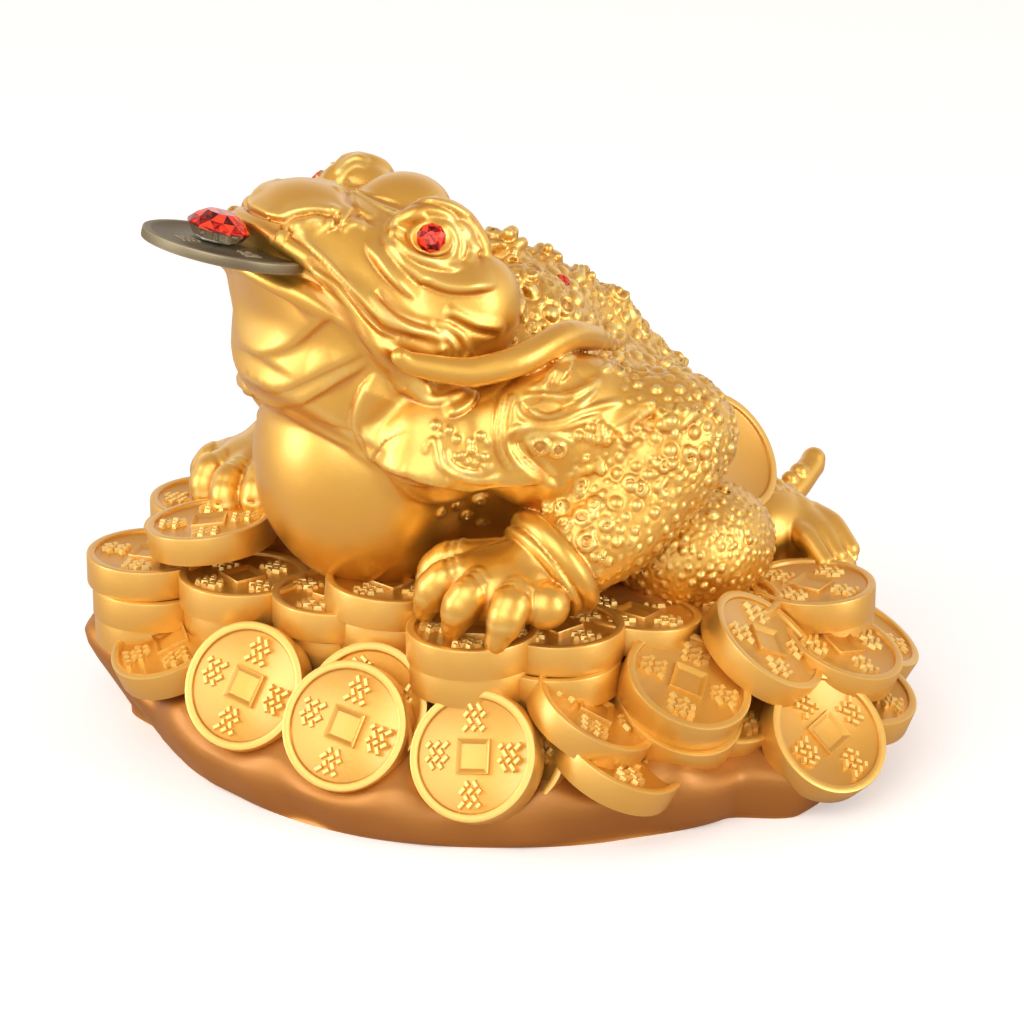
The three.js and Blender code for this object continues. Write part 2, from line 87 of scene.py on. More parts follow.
@dataclass(frozen=True)
class Eye:
    """The photograph's camera, in the toad's millimetres.

    The toad looks along -Y, its left side is +X, and Z counts from its seat on the heap.
    """

    azimuth: float = 57.0
    elevation: float = 21.0
    distance: float = 800.0
    scale: float = 0.171
    centre: float = 512.0
    origin_pixel: Pixel = (495.0, 714.0)
    seat: float = 30.0

    def axes(self) -> np.ndarray:
        """Return the camera's right, up and back directions as rows."""
        turn, tilt = math.radians(self.azimuth), math.radians(self.elevation)
        right = np.array([math.cos(turn), math.sin(turn), 0.0])
        back = np.array([math.sin(turn) * math.cos(tilt), -math.cos(turn) * math.cos(tilt), math.sin(tilt)])
        return np.array([right, np.cross(back, right), back])

    def target(self) -> np.ndarray:
        """Return the point that the camera looks at."""
        right, up, _ = self.axes()
        across = (self.centre - self.origin_pixel[0]) * self.scale
        high = (self.origin_pixel[1] - self.centre) * self.scale
        return right * across + up * high - np.array([0.0, 0.0, self.seat])

    def place(self) -> np.ndarray:
        """Return the camera's own place."""
        return self.target() + self.axes()[2] * self.distance

    def rays(self, pixels: Sequence[Pixel]) -> np.ndarray:
        """Return a unit direction from the camera through each pixel.

        Args:
            pixels: Places in the photograph's frame.

        Returns:
            One direction for each pixel.
        """
        right, up, back = self.axes()
        offset = (np.array(pixels, float) - self.centre) * self.scale / self.distance
        way = offset[:, :1] * right - offset[:, 1:] * up - back
        return way / np.linalg.norm(way, axis=1, keepdims=True)


def turned(angles: Point) -> np.ndarray:
    """Return the matrix that turns about X, then Y, then Z.

    Args:
        angles: The three turns in degrees.

    Returns:
        A matrix of three by three.
    """
    ax, ay, az = np.radians(angles)
    about_x = np.array([[1, 0, 0], [0, np.cos(ax), -np.sin(ax)], [0, np.sin(ax), np.cos(ax)]])
    about_y = np.array([[np.cos(ay), 0, np.sin(ay)], [0, 1, 0], [-np.sin(ay), 0, np.cos(ay)]])
    about_z = np.array([[np.cos(az), -np.sin(az), 0], [np.sin(az), np.cos(az), 0], [0, 0, 1]])
    return about_z @ about_y @ about_x


def smooth_line(points: Sequence[Point]) -> np.ndarray:
    """Return a smooth curve through the points.

    Args:
        points: The points to pass through, in order.

    Returns:
        Points along the curve.
    """
    points = np.asarray(points, float)
    if len(points) < 3:
        return points
    gaps = np.maximum(np.linalg.norm(np.diff(points, axis=0), axis=1), 1e-6) ** 0.5
    knots = np.concatenate([[0.0], np.cumsum(gaps)])
    slopes = np.zeros_like(points)
    slopes[1:-1] = (points[2:] - points[:-2]) / (knots[2:] - knots[:-2])[:, None]
    slopes[0] = (points[1] - points[0]) / gaps[0]
    slopes[-1] = (points[-1] - points[-2]) / gaps[-1]
    wanted = np.linspace(0, knots[-1], CURVE_STEPS * (len(points) - 1) + 1)
    i = np.clip(np.searchsorted(knots, wanted, side="right") - 1, 0, len(points) - 2)
    gap = (knots[i + 1] - knots[i])[:, None]
    u = (wanted - knots[i])[:, None] / gap
    start = (2 * u**3 - 3 * u**2 + 1) * points[i] + (u**3 - 2 * u**2 + u) * gap * slopes[i]
    return start + (3 * u**2 - 2 * u**3) * points[i + 1] + (u**3 - u**2) * gap * slopes[i + 1]


class Clay:
    """A signed distance field on a grid, worked like a block of clay."""

    def __init__(self, low: Point, high: Point, pitch: float, eye: Eye) -> None:
        """Start with an empty block.

        Args:
            low: The block's lowest corner.
            high: The block's highest corner.
            pitch: The spacing of the grid.
            eye: The camera that pixels are seen from.
        """
        self.low = np.array(low, float)
        self.pitch = pitch
        self.eye = eye
        counts = np.ceil((np.array(high) - self.low) / pitch).astype(int) + 1
        self.axes = [(self.low[i] + pitch * np.arange(counts[i])).astype(np.float32) for i in range(3)]
        self.field = np.full(counts, EMPTY, np.float32)

    @classmethod
    def like(cls, other: "Clay") -> "Clay":
        """Return an empty block on the same grid."""
        high = other.low + other.pitch * (np.array(other.field.shape) - 1.01)
        return cls(tuple(other.low), tuple(high), other.pitch, other.eye)

    def join(self, other: "Clay", blend: float) -> None:
        """Join another block's clay to this one, with a rounded crease."""
        self.meet(np.s_[:, :, :], other.field, blend, Mode.ADD)

    def window(self, low: np.ndarray, high: np.ndarray) -> Window:
        """Return the part of the grid between two corners, and its coordinates."""
        start = np.clip(np.floor((low - self.low) / self.pitch).astype(int), 0, self.field.shape)
        stop = np.clip(np.ceil((high - self.low) / self.pitch).astype(int) + 1, 0, self.field.shape)
        cut = tuple(slice(a, max(a, b)) for a, b in zip(start, stop))
        x, y, z = (self.axes[i][cut[i]] for i in range(3))
        return cut, x[:, None, None], y[None, :, None], z[None, None, :]

    def meet(self, cut: tuple, distance: np.ndarray, blend: float, mode: Mode) -> None:
        """Join a shape to the clay, or cut it away, with a rounded crease.

        Args:
            cut: The part of the grid that the distances are for.
            distance: Distances to the shape's skin, negative inside.
            blend: The width of the rounding.
            mode: Whether the shape is added or cut.
        """
        there = -self.field[cut] if mode is Mode.CUT else self.field[cut]
        overlap = np.maximum(blend - np.abs(there - distance), 0)
        met = np.minimum(there, distance) - overlap * overlap * (0.25 / max(blend, 1e-6))
        self.field[cut] = -met if mode is Mode.CUT else met

    def ball(self, centre: Point, radii: Point, turn: Point = (0, 0, 0), blend: float = 4.0,
             mode: Mode = Mode.ADD) -> None:
        """Add or cut a squeezed ball.

        Args:
            centre: Its middle.
            radii: Its three half sizes.
            turn: How it is turned about X, Y and Z, in degrees.
            blend: The width of the rounding where it meets the clay.
            mode: Whether it is added or cut.
        """
        middle, sizes, matrix = np.array(centre, float), np.array(radii, float), turned(turn)
        reach = np.sqrt((matrix**2) @ (sizes**2)) + blend + 2 * self.pitch
        cut, x, y, z = self.window(middle - reach, middle + reach)
        if self.field[cut].size == 0:
            return
        offset = (x - np.float32(middle[0]), y - np.float32(middle[1]), z - np.float32(middle[2]))
        near = slope = np.float32(0)
        for i in range(3):
            along = sum(np.float32(matrix[k, i]) * offset[k] for k in range(3))
            near = near + (along / np.float32(sizes[i])) ** 2
            slope = slope + (along / np.float32(sizes[i] ** 2)) ** 2
        near, slope = np.sqrt(near), np.sqrt(slope) + np.float32(1e-6)
        self.meet(cut, near * (near - 1) / slope, blend, mode)

    def hoop(self, centre: np.ndarray, along: np.ndarray, radius: float, size: tuple[float, float],
             blend: float) -> None:
        """Add a band round a limb.

        Args:
            centre: The middle of the band.
            along: The limb's direction.
            radius: The radius of the band.
            size: Half the band's thickness, and half its width along the limb.
            blend: The width of the rounding where it meets the clay.
        """
        thick, wide = size
        reach = radius + thick + wide + blend + 2 * self.pitch
        cut, x, y, z = self.window(centre - reach, centre + reach)
        dx, dy, dz = x - centre[0], y - centre[1], z - centre[2]
        level = dx * along[0] + dy * along[1] + dz * along[2]
        out = np.sqrt(np.maximum(dx**2 + dy**2 + dz**2 - level**2, 0)) - radius
        near = np.sqrt((out / thick) ** 2 + (level / wide) ** 2) + 1e-6
        slope = np.sqrt((out / thick**2) ** 2 + (level / wide**2) ** 2) + 1e-6
        self.meet(cut, (near * (near - 1) / slope).astype(np.float32), blend, Mode.ADD)

    def nearest(self, line: np.ndarray, radii: np.ndarray, reach: float) -> tuple:
        """Measure distances to a line of varying thickness.

        Args:
            line: Points along the line.
            radii: The thickness at each point.
            reach: How far from the line to measure.

        Returns:
            The grid's part, the distances, how far along each place is, and its offset from the line.
        """
        cut, x, y, z = self.window(line.min(0) - reach, line.max(0) + reach)
        shape = self.field[cut].shape
        best = np.full(shape, 1e3, np.float32)
        along = np.zeros(shape, np.float32)
        for i in range(len(line) - 1):
            a, b = line[i], line[i + 1]
            low, high = np.minimum(a, b) - reach, np.maximum(a, b) + reach
            part, px, py, pz = self.window(low, high)
            inner = tuple(slice(p.start - c.start, p.stop - c.start) for p, c in zip(part, cut))
            if best[inner].size == 0:
                continue
            step = (b - a).astype(np.float32)
            size = max(float(step @ step), 1e-9)
            px, py, pz = px - np.float32(a[0]), py - np.float32(a[1]), pz - np.float32(a[2])
            share = np.clip((px * step[0] + py * step[1] + pz * step[2]) / np.float32(size), 0, 1)
            gap = np.sqrt((px - share * step[0]) ** 2 + (py - share * step[1]) ** 2 + (pz - share * step[2]) ** 2)
            gap = gap - (np.float32(radii[i]) + share * np.float32(radii[i + 1] - radii[i]))
            closer = gap < best[inner]
            best[inner] = np.where(closer, gap, best[inner])
            along[inner] = np.where(closer, (i + share) / (len(line) - 1), along[inner])
        return cut, best, along

    def rope(self, points: Sequence[Point], radii: Sequence[float], blend: float, mode: Mode = Mode.ADD) -> None:
        """Add or cut a round rope along a curve.

        Args:
            points: The points that its middle passes through.
            radii: Its radius at equal steps along it.
            blend: The width of the rounding where it meets the clay.
            mode: Whether it is added or cut.
        """
        line = smooth_line(points)
        share = np.linspace(0, 1, len(line))
        sizes = np.interp(share, np.linspace(0, 1, len(radii)), radii)
        cut, gap, _ = self.nearest(line, sizes, float(sizes.max()) + blend + 2 * self.pitch)
        self.meet(cut, gap, blend, mode)

    @staticmethod
    def faded(along: np.ndarray, taper: float) -> np.ndarray:
        """Return 1 along a line, falling to 0 over a share of it at each end."""
        return np.clip(np.minimum(along, 1 - along) / max(taper, 1e-3), 0, 1)

    def line(self, points: np.ndarray, height: float, width: float, taper: float) -> None:
        """Raise a ridge along a line on the skin, or press a groove where the height is negative.

        Args:
            points: Points on the skin.
            height: How far the skin rises.
            width: Half the width of the ridge.
            taper: The share of the line over which each end fades.
        """
        line = smooth_line(points)
        cut, gap, along = self.nearest(line, np.zeros(len(line)), 2.4 * width)
        rise = height * np.exp(-((gap / width) ** 2))
        fade = self.faded(along, taper)
        self.field[cut] -= (rise * fade * (2 - fade)).astype(np.float32)

    def fold(self, points: np.ndarray, height: float, width: float, inner: Point, taper: float) -> None:
        """Raise one side of a line into a soft fold that ends in a sharp edge along the line.

        Args:
            points: Points on the skin, along the sharp edge.
            height: How far the edge rises.
            width: How far the fold fades out on its soft side.
            inner: A point on the soft side of the line.
            taper: The share of the line over which each end fades.
        """
        line = smooth_line(points)
        cut, x, y, z = self.window(line.min(0) - 2 * width, line.max(0) + 2 * width)
        if self.field[cut].size == 0:
            return
        _, gap, along = self.nearest(line, np.zeros(len(line)), 2 * width)
        at = np.clip((along * (len(line) - 1)).astype(int), 0, len(line) - 2)
        toward = np.array(inner, float)[None, :] - line[:-1]
        direction = np.diff(line, axis=0)
        direction /= np.linalg.norm(direction, axis=1, keepdims=True) + 1e-9
        toward -= (toward * direction).sum(1, keepdims=True) * direction
        toward /= np.linalg.norm(toward, axis=1, keepdims=True) + 1e-9
        base, side = line[at].astype(np.float32), toward[at].astype(np.float32)
        lateral = sum((line_of - base[..., i]) * side[..., i] for i, line_of in enumerate((x, y, z)))
        sharp = 0.28 * max(self.pitch, 0.22 * width)
        edge = 1 / (1 + np.exp(np.clip(-lateral / sharp, -30, 30)))
        rise = height * edge * np.exp(-((np.maximum(gap, 0) / width) ** 2))
        crease_depth, crease_width = 0.4 * abs(height), 0.5
        rise -= crease_depth * np.exp(-((gap / crease_width) ** 2))
        self.field[cut] -= (rise * self.faded(along, taper)).astype(np.float32)

    def around(self, centre: np.ndarray, reach: float) -> tuple[tuple, np.ndarray]:
        """Return the part of the grid round a place, and its squared distances from the place."""
        cut, x, y, z = self.window(centre - reach, centre + reach)
        return cut, (x - centre[0]) ** 2 + (y - centre[1]) ** 2 + (z - centre[2]) ** 2

    def bump(self, centre: np.ndarray, height: float, width: float) -> None:
        """Raise a round bump on the skin."""
        cut, square = self.around(centre, 2.3 * width)
        self.field[cut] -= (height * np.exp(-square / width**2)).astype(np.float32)

    def wart(self, centre: np.ndarray, radius: float, height: float, ringed: bool = False) -> None:
        """Raise a wart: a dome in a shallow moat, with a ring round it where it is ringed."""
        cut, square = self.around(centre, radius * (2.0 if ringed else 1.7))
        away = np.sqrt(square) / radius
        if ringed:
            rise = np.maximum(0, 1.15 - (away / 0.55) ** 2) + np.exp(-(((away - 1.0) / 0.27) ** 2)) - 0.12
            rise *= away < 1.5
        else:
            rise = np.maximum(0, 1 - away**2) - 0.3 * np.exp(-(((away - 1.15) / 0.25) ** 2))
        self.field[cut] -= (height * rise).astype(np.float32)

    def sample(self, places: np.ndarray) -> np.ndarray:
        """Return the distance at each place, smoothly between the grid's points."""
        spot = np.clip((places - self.low) / self.pitch, 0, np.array(self.field.shape) - 1.001)
        base = np.floor(spot).astype(int)
        u = (spot - base).astype(np.float32)
        total = np.zeros(places.shape[:-1], np.float32)
        for corner in range(8):
            step = np.array([corner & 1, (corner >> 1) & 1, corner >> 2])
            weight = np.prod(np.where(step, u, 1 - u), axis=-1)
            i = base + step
            total += weight * self.field[i[..., 0], i[..., 1], i[..., 2]]
        return total

    def seen(self, pixels: Sequence[Pixel]) -> np.ndarray:
        """Return where the camera sees the skin through each pixel.

        Args:
            pixels: Places in the photograph's frame.

        Returns:
            Points on the skin, or the nearest miss.
        """
        depths = np.arange(self.eye.distance - LOOK, self.eye.distance + LOOK, LOOK_STEP)
        places = self.eye.place() + self.eye.rays(pixels)[:, None, :] * depths[None, :, None]
        high = self.low + self.pitch * (np.array(self.field.shape) - 1)
        inside = np.all((places > self.low) & (places < high), axis=2)
        values = np.where(inside, self.sample(places), EMPTY)
        hit = values < 0
        first = np.where(hit.any(1), hit.argmax(1), values.argmin(1))
        return places[np.arange(len(places)), first]

    def skin(self, low: Point, high: Point, band: float = 0.6) -> np.ndarray:
        """Return the grid's points that lie close to the skin between two corners."""
        cut, x, y, z = self.window(np.array(low, float), np.array(high, float))
        near = np.argwhere(np.abs(self.field[cut]) < band * self.pitch)
        start = np.array([c.start for c in cut])
        return self.low + (near + start) * self.pitch


# Toad.


@dataclass(frozen=True)
class Mass:
    """One soft mass of the toad's body."""

    centre: Point
    radii: Point
    pitch: float = 0.0
    blend: float = 4.0


@dataclass(frozen=True)
class Stroke:
    """A ridge, or a groove where its height is negative, drawn through pixels of the camera's view."""

    pixels: tuple[Pixel, ...]
    height: float
    width: float
    taper: float = 0.2


@dataclass(frozen=True)
class Fold:
    """A fold of skin whose sharp edge runs through pixels, with its soft side toward another pixel."""

    pixels: tuple[Pixel, ...]
    inner: Pixel
    height: float
    width: float
    taper: float = 0.15


@dataclass
class Toad:
    """The toad, sculpted in clay and meshed.

    Its sizes are millimetres in its own frame: it looks along -Y, its left is +X, and Z counts from its seat.
    """

    clay: Clay
    seed: int = 7
    chance: np.random.Generator = field(init=False)
    steps: tuple[tuple[int, float], ...] = ((1, 0.0), (-1, -6.6))
    toes: tuple[tuple[Point, Point, Point, Point], ...] = (
        ((30, -17, 13), (24.8, -23.6, 11.4), (22.6, -26.4, 8.6), (19.8, -26.6, 3.2)),
        ((32, -19, 13), (29, -27, 10.4), (27, -29.6, 7.4), (24.8, -29.2, 2.2)),
        ((34.5, -19, 13), (35.4, -26.6, 10), (34.6, -29.2, 7), (33, -29.4, 1.5)),
        ((37, -17, 12.5), (41, -22.8, 9.4), (41.8, -25.2, 6.6), (40.2, -26.6, 1.2)),
    )
    knobs: tuple[Point, ...] = ((1, 53.0, 3.9), (9, 49.3, 3.2), (15.8, 44.8, 3.1), (22.2, 39.5, 3.5),
                                (28.8, 31.6, 3.1), (35.2, 26, 2.9), (41.2, 20, 2.7))
    head_masses: tuple[Mass, ...] = (
        Mass((0, -25.8, 47), (23, 21.7, 12.5), -32),
        Mass((0, -25.6, 40), (20.6, 19.7, 13), -5, 5),
        Mass((0, -24, 55), (19, 18, 12), -20, 6),
        Mass((0, -36.6, 61.7), (11.6, 9.6, 9.4), -15, 5),
    )
    trunk_masses: tuple[Mass, ...] = (
        Mass((0, -4, 24.5), (25, 24, 22.5), -10),
        Mass((0, 14, 18), (27, 28, 20), -24, 6),
        Mass((0, 34, 8), (19, 17, 13), -20, 8),
        Mass((0, 4, 42), (15, 14, 9.5), -32, 5),
        Mass((0, -24, 22), (20, 19.5, 22), blend=2.5),
    )
    side_masses: tuple[Mass, ...] = (
        Mass((22, -24, 31), (9, 10, 10), 0, 3),
        Mass((28.5, -5, 31), (10, 18, 13), -8, 3),
        Mass((34, 9.6, 28.6), (11, 13.4, 11.5), 0, 3),
        Mass((27, 22, 5), (11.5, 14.5, 11.2), 0, 1.5),
    )
    crown_masses: tuple[Mass, ...] = (
        Mass((0.4, -18.2, 62.8), (7.6, 8.6, 6.6), blend=0.8),
        Mass((12.8, -21.2, 60.6), (6.3, 8.4, 7.2), blend=0.8),
        Mass((-12.3, -17.8, 61.4), (6.2, 6.0, 7.0), blend=0.8),
        Mass((0, -17.5, 60.6), (8.6, 7.6, 7.8), blend=0.8),
    )
    gem: Point = (17.6, -23.2, 64.0)
    gem_facing: Point = (0.82, -0.53, 0.2)

    def __post_init__(self) -> None:
        """Start the draws that scatter the warts."""
        self.chance = np.random.default_rng(self.seed)

    @staticmethod
    def both(points: Sequence[Point]) -> tuple[np.ndarray, np.ndarray]:
        """Return the points, and the same points on the other side."""
        points = np.asarray(points, float)
        return points, points * np.array([-1.0, 1.0, 1.0])

    @staticmethod
    def add(clay: Clay, masses: Sequence[Mass]) -> None:
        """Add masses to a block of clay."""
        for mass in masses:
            clay.ball(mass.centre, mass.radii, (mass.pitch, 0, 0), mass.blend)

    def pair(self, centre: Point, radii: Point, turn: Point = (0, 0, 0), blend: float = 2.0,
             mode: Mode = Mode.ADD) -> None:
        """Add or cut a ball on both sides."""
        x, y, z = centre
        self.clay.ball((x, y, z), radii, turn, blend, mode)
        self.clay.ball((-x, y, z), radii, (turn[0], -turn[1], -turn[2]), blend, mode)

    def draw(self, strokes: Sequence[Stroke]) -> None:
        """Draw strokes on the side that the camera sees, and on the other side."""
        for stroke in strokes:
            for points in self.both(self.clay.seen(stroke.pixels)):
                self.clay.line(points, stroke.height, stroke.width, stroke.taper)

    def lap(self, folds: Sequence[Fold]) -> None:
        """Lay folds of skin on both sides."""
        for fold in folds:
            for points in self.both(self.clay.seen(fold.pixels + (fold.inner,))):
                self.clay.fold(points[:-1], fold.height, fold.width, points[-1], fold.taper)

    def trunk(self) -> None:
        """Build the belly, the back and the haunches."""
        self.add(self.clay, self.trunk_masses)
        for mass in self.side_masses:
            self.pair(mass.centre, mass.radii, (mass.pitch, 0, 0), mass.blend)

    def head(self) -> None:
        """Build the broad head with its snout, its forehead and the balls of its eyes."""
        skull = Clay.like(self.clay)
        self.add(skull, self.head_masses)
        self.clay.join(skull, 2.0)
        self.pair((17, -16, 50.5), (7.2, 9.5, 9.5), blend=4)
        self.add(self.clay, self.crown_masses)

    def eyes(self) -> None:
        """Set each eye in its socket under a heavy brow."""
        gem, facing = np.array(self.gem), np.array(self.gem_facing)
        brow = [(12.6, -28.6, 62.0), (13.2, -27, 64.8), (13.8, -23.6, 66.8), (14.4, -19.4, 67.0), (15.4, -15.8, 64.6),
                (16.8, -13.6, 60.8), (18.4, -13.4, 57)]
        far = [(-12.6, -27.6, 61.4), (-13.2, -25, 63.6), (-13.6, -21.4, 65.4), (-14, -17.6, 67.2),
               (-15.2, -14.6, 64.8), (-16.8, -12.8, 60.8), (-18.4, -12.6, 57)]
        for line in (brow, far):
            self.clay.rope(line, (1.0, 1.7, 2.0, 2.1, 2.1, 1.8, 0.9), 0.8)
        self.clay.rope([(-12.8, -20.8, 65.4), (-13, -18, 67.2), (-12.6, -14.8, 66), (-13, -12, 63)],
                       (1.3, 2.2, 2.3, 1.6), 0.5)
        self.pair(tuple(gem + 1.2 * facing), (2.9, 7.0, 3.9), (-12, 0, -33), 0.5, Mode.CUT)
        self.pair(tuple(gem - 4.1 * facing), (4.1, 4.2, 4.1), (0, 0, -33), 0.3)

    def face(self) -> None:
        """Draw the folds round the eyes, the nose and the lips."""
        self.lap((
            Fold(((388, 229), (392, 244), (400, 255), (409, 262), (425, 269), (447, 273), (465, 269)),
                 (430, 256), 1.4, 2.2),
            Fold(((378, 234), (385, 251), (394, 262), (403, 271), (414, 279), (425, 284), (447, 292), (476, 293),
                  (499, 289)), (440, 280), 1.9, 3.0),
            Fold(((365, 238), (367, 250), (373, 261), (382, 273), (393, 285), (405, 295), (417, 303)), (403, 272),
                 1.3, 2.6, 0.3),
            Fold(((353, 178), (350, 188), (352, 200), (360, 211), (371, 218), (384, 222)), (340, 206), -0.8, 1.8),
            Fold(((249, 210), (262, 216), (273, 220), (284, 221), (296, 216), (310, 213), (325, 214), (333, 219),
                  (337, 227), (345, 223), (351, 215), (357, 215), (364, 221), (375, 229)), (310, 202), 1.0, 2.0),
            Fold(((255, 218), (275, 230), (291, 236), (307, 248), (325, 264), (339, 280), (355, 298), (369, 314),
                  (385, 326), (405, 334), (425, 340), (441, 350)), (345, 262), 0.9, 2.0),
            Fold(((397, 226), (405, 214), (418, 206), (432, 204), (447, 208), (462, 218), (473, 232), (479, 250),
                  (478, 268)), (446, 202), 0.8, 1.8),
        ))
        self.draw((
            Stroke(((396, 236), (405, 249), (418, 257), (432, 260), (447, 258), (456, 250)), 1.1, 0.5),
            Stroke(((443, 222), (452, 231), (455, 243), (452, 254)), 1.0, 0.42),
            Stroke(((451, 220), (460, 232), (464, 246), (461, 259)), 1.1, 0.42),
            Stroke(((459, 220), (468, 235), (472, 250), (469, 263)), 1.0, 0.42),
            Stroke(((396, 221), (409, 211), (425, 209), (443, 213), (455, 221)), 1.0, 0.5),
            Stroke(((389, 231), (397, 233), (405, 237)), 0.7, 0.6),
            Stroke(((341, 232), (346, 225), (356, 223), (366, 229)), 0.6, 0.5),
            Stroke(((288, 226), (296, 228), (303, 224), (314, 219), (325, 221)), 0.8, 0.6),
            Stroke(((337, 174), (344, 163), (356, 157), (370, 162)), 0.8, 0.45),
            Stroke(((340, 182), (345, 172), (357, 165), (368, 168)), 0.8, 0.4),
            Stroke(((338, 190), (346, 184), (352, 174)), 0.8, 0.45),
            Stroke(((333, 180), (336, 187), (343, 195)), 0.7, 0.5),
            Stroke(((369, 293), (379, 305), (392, 318), (411, 329), (430, 333), (446, 342)), 0.8, 0.6),
            Stroke(((376, 290), (388, 303), (402, 314), (420, 322), (436, 325)), -0.7, 0.8),
            Stroke(((444, 308), (457, 316), (478, 325), (505, 328)), 0.9, 0.9),
            Stroke(((448, 316), (460, 323), (478, 331), (500, 334)), -0.8, 0.6),
            Stroke(((430, 323), (446, 326), (461, 335), (467, 347), (469, 357)), 0.9, 0.5),
            Stroke(((440, 331), (451, 341), (457, 354)), 0.7, 0.45),
            Stroke(((307, 258), (323, 271), (339, 284), (354, 300), (367, 316), (382, 329), (400, 338)), -1.3, 0.55),
            Stroke(((311, 270), (321, 276), (337, 286), (353, 300), (365, 316), (381, 330)), 1.1, 0.55),
            Stroke(((267, 272), (289, 278), (305, 286), (325, 298), (341, 310), (357, 328), (371, 344), (385, 360),
                    (401, 372), (415, 381)), 1.3, 0.75),
        ))
        for pixel, height, width in (((296, 223), 0.7, 0.9), ((335, 210), 0.8, 0.9), ((441, 349), 0.6, 0.8),
                                     ((452, 392), 0.8, 1.3)):
            for place in self.both(self.clay.seen([pixel])[0]):
                self.clay.bump(place, height, width)

    def throat(self) -> None:
        """Hang loose folds round the throat, the jaw and the breast."""
        self.lap((
            Fold(((237, 343), (258, 352), (277, 351), (297, 345), (320, 326), (336, 316)), (275, 320), 1.2, 5.0),
            Fold(((247, 377), (264, 389), (285, 389), (306, 381), (339, 366), (366, 354)), (290, 365), 1.3, 4.2),
            Fold(((254, 397), (277, 406), (300, 404), (327, 391), (354, 375), (371, 362)), (290, 394), 1.0, 3.4),
            Fold(((384, 373), (400, 391), (417, 402), (436, 406), (459, 400), (475, 388)), (430, 385), 1.2, 4.5),
            Fold(((374, 370), (362, 387), (354, 408), (355, 427), (362, 444), (374, 460), (386, 470)), (392, 420),
                 1.8, 5.5),
            Fold(((378, 462), (393, 473), (413, 484), (436, 486), (456, 484)), (410, 455), 1.3, 4.0),
        ))

    def mouth(self) -> None:
        """Model the lips and the gap between them."""
        upper = [(23.2, -28.4, 42.3), (21.6, -31.8, 46.4), (20, -35, 49.6), (16.7, -38.6, 56.2), (12.4, -42, 61.6),
                 (8.6, -44.2, 63.8), (4.6, -45.6, 65.3)]
        lower = [(23.4, -27.6, 39.8), (20.3, -33.8, 46.2), (17.4, -38, 52.4), (13.1, -42.5, 55.8), (8.8, -46, 57.6)]
        gap = [(20.4, -36.4, 47.6), (18, -39.6, 54), (13.7, -43.6, 58.8), (9.3, -46.4, 61), (0, -48.4, 62.6)]
        for half, middle in ((upper, (0, -46, 65.8)), (lower, (0, -48.4, 59.2))):
            other = [(-x, y, z) for x, y, z in reversed(half)]
            self.clay.rope(half + [middle] + other, (0.7, 1.3, 1.5, 1.3, 1.5, 1.3, 0.7), 1.0)
        other = [(-x, y, z) for x, y, z in reversed(gap[:-1])]
        self.clay.rope(gap + other, (0.3, 1.0, 1.5, 1.9, 2.3, 1.9, 1.5, 1.0, 0.3), 0.6, Mode.CUT)

    def whiskers(self) -> None:
        """Lay the long roll of skin back from each corner of the mouth."""
        points = [(24.4, -33.4, 48.0), (25, -31.4, 46.6), (28, -22.6, 44.5), (30, -14.5, 45.5), (28.2, -4.9, 47.1),
                  (25, 3, 44.5), (22, 9, 41.5)]
        for side in self.both(points):
            self.clay.rope(side, (1.5, 2.1, 2.4, 2.5, 2.5, 2.1, 0.9), 0.5)

    def arms(self) -> None:
        """Build each forearm. The right one reaches further forward."""
        for side, step in self.steps:
            self.clay.rope([(side * 36, 7.5, 24.5), (side * 36, -1, 17.5), (side * 35, -14 + step, 11)],
                           (9.7, 9.3, 7.2), 2.5)

    def bangle(self, side: int, step: float) -> None:
        """Put a plain band with a raised edge on one wrist."""
        start = np.array([side * 36, -1, 17.5])
        end = np.array([side * 35, -14 + step, 10])
        along = (end - start) / np.linalg.norm(end - start)
        middle = np.array([side * 35.2, -11.2 + 0.8 * step, 12.2])
        self.clay.hoop(middle, along, 8.0, (2.0, 2.0), 0.3)
        self.clay.hoop(middle + 2.6 * along, along, 7.6, (1.5, 1.0), 0.2)

    def toe(self, root: Point, knuckle: Point, bend: Point, tip: Point, side: int, step: float) -> None:
        """Build one clawed toe with a wrinkled knuckle."""
        spots = np.array([root, knuckle, bend, tip]) * (side, 1, 1) + (0, step, 0)
        root, knuckle, bend, tip = spots
        way = (knuckle - root) * (1, 1, 0) / np.linalg.norm((knuckle - root)[:2])
        across = np.cross(way, (0, 0, 1))
        self.clay.rope([root, knuckle - 0.8 * way, knuckle + 1.2 * way], (2.8, 3.5, 3.2), 0.5)
        self.clay.rope([knuckle + way, (knuckle + bend) / 2 + way, bend], (3.1, 3.2, 2.9), 0.3)
        self.clay.rope([bend, (bend + tip) / 2 + 0.4 * way, tip], (2.6, 2.0, 0.7), 0.2)
        for wrinkle in range(3):
            top = knuckle + (1.25 * wrinkle - 1.2) * way + (0, 0, 3.7 - 0.35 * wrinkle)
            wide, drop = 2.7 * across, np.array([0, 0, 1.4])
            self.clay.line(np.array([top - wide - drop, top, top + wide - drop]), 0.75, 0.42, 0.15)
        cuff = bend + 0.6 * way + (0, 0, 0.6)
        self.clay.line(np.array([cuff - 2 * across, cuff + 1.6 * way, cuff + 2 * across]), -0.7, 0.45, 0.1)

    def paw(self, side: int, step: float) -> None:
        """Build a paw of four clawed toes that fan out from the front round to the outer side."""
        self.clay.ball((side * 33.5, -19.5 + step, 9.3), (9.2, 8.4, 6.4), blend=1.5)
        self.clay.ball((side * 42.3, -17.6 + step, 8.4), (3.9, 3.9, 3.9), blend=0.5)
        for toe in self.toes:
            self.toe(*toe, side, step)

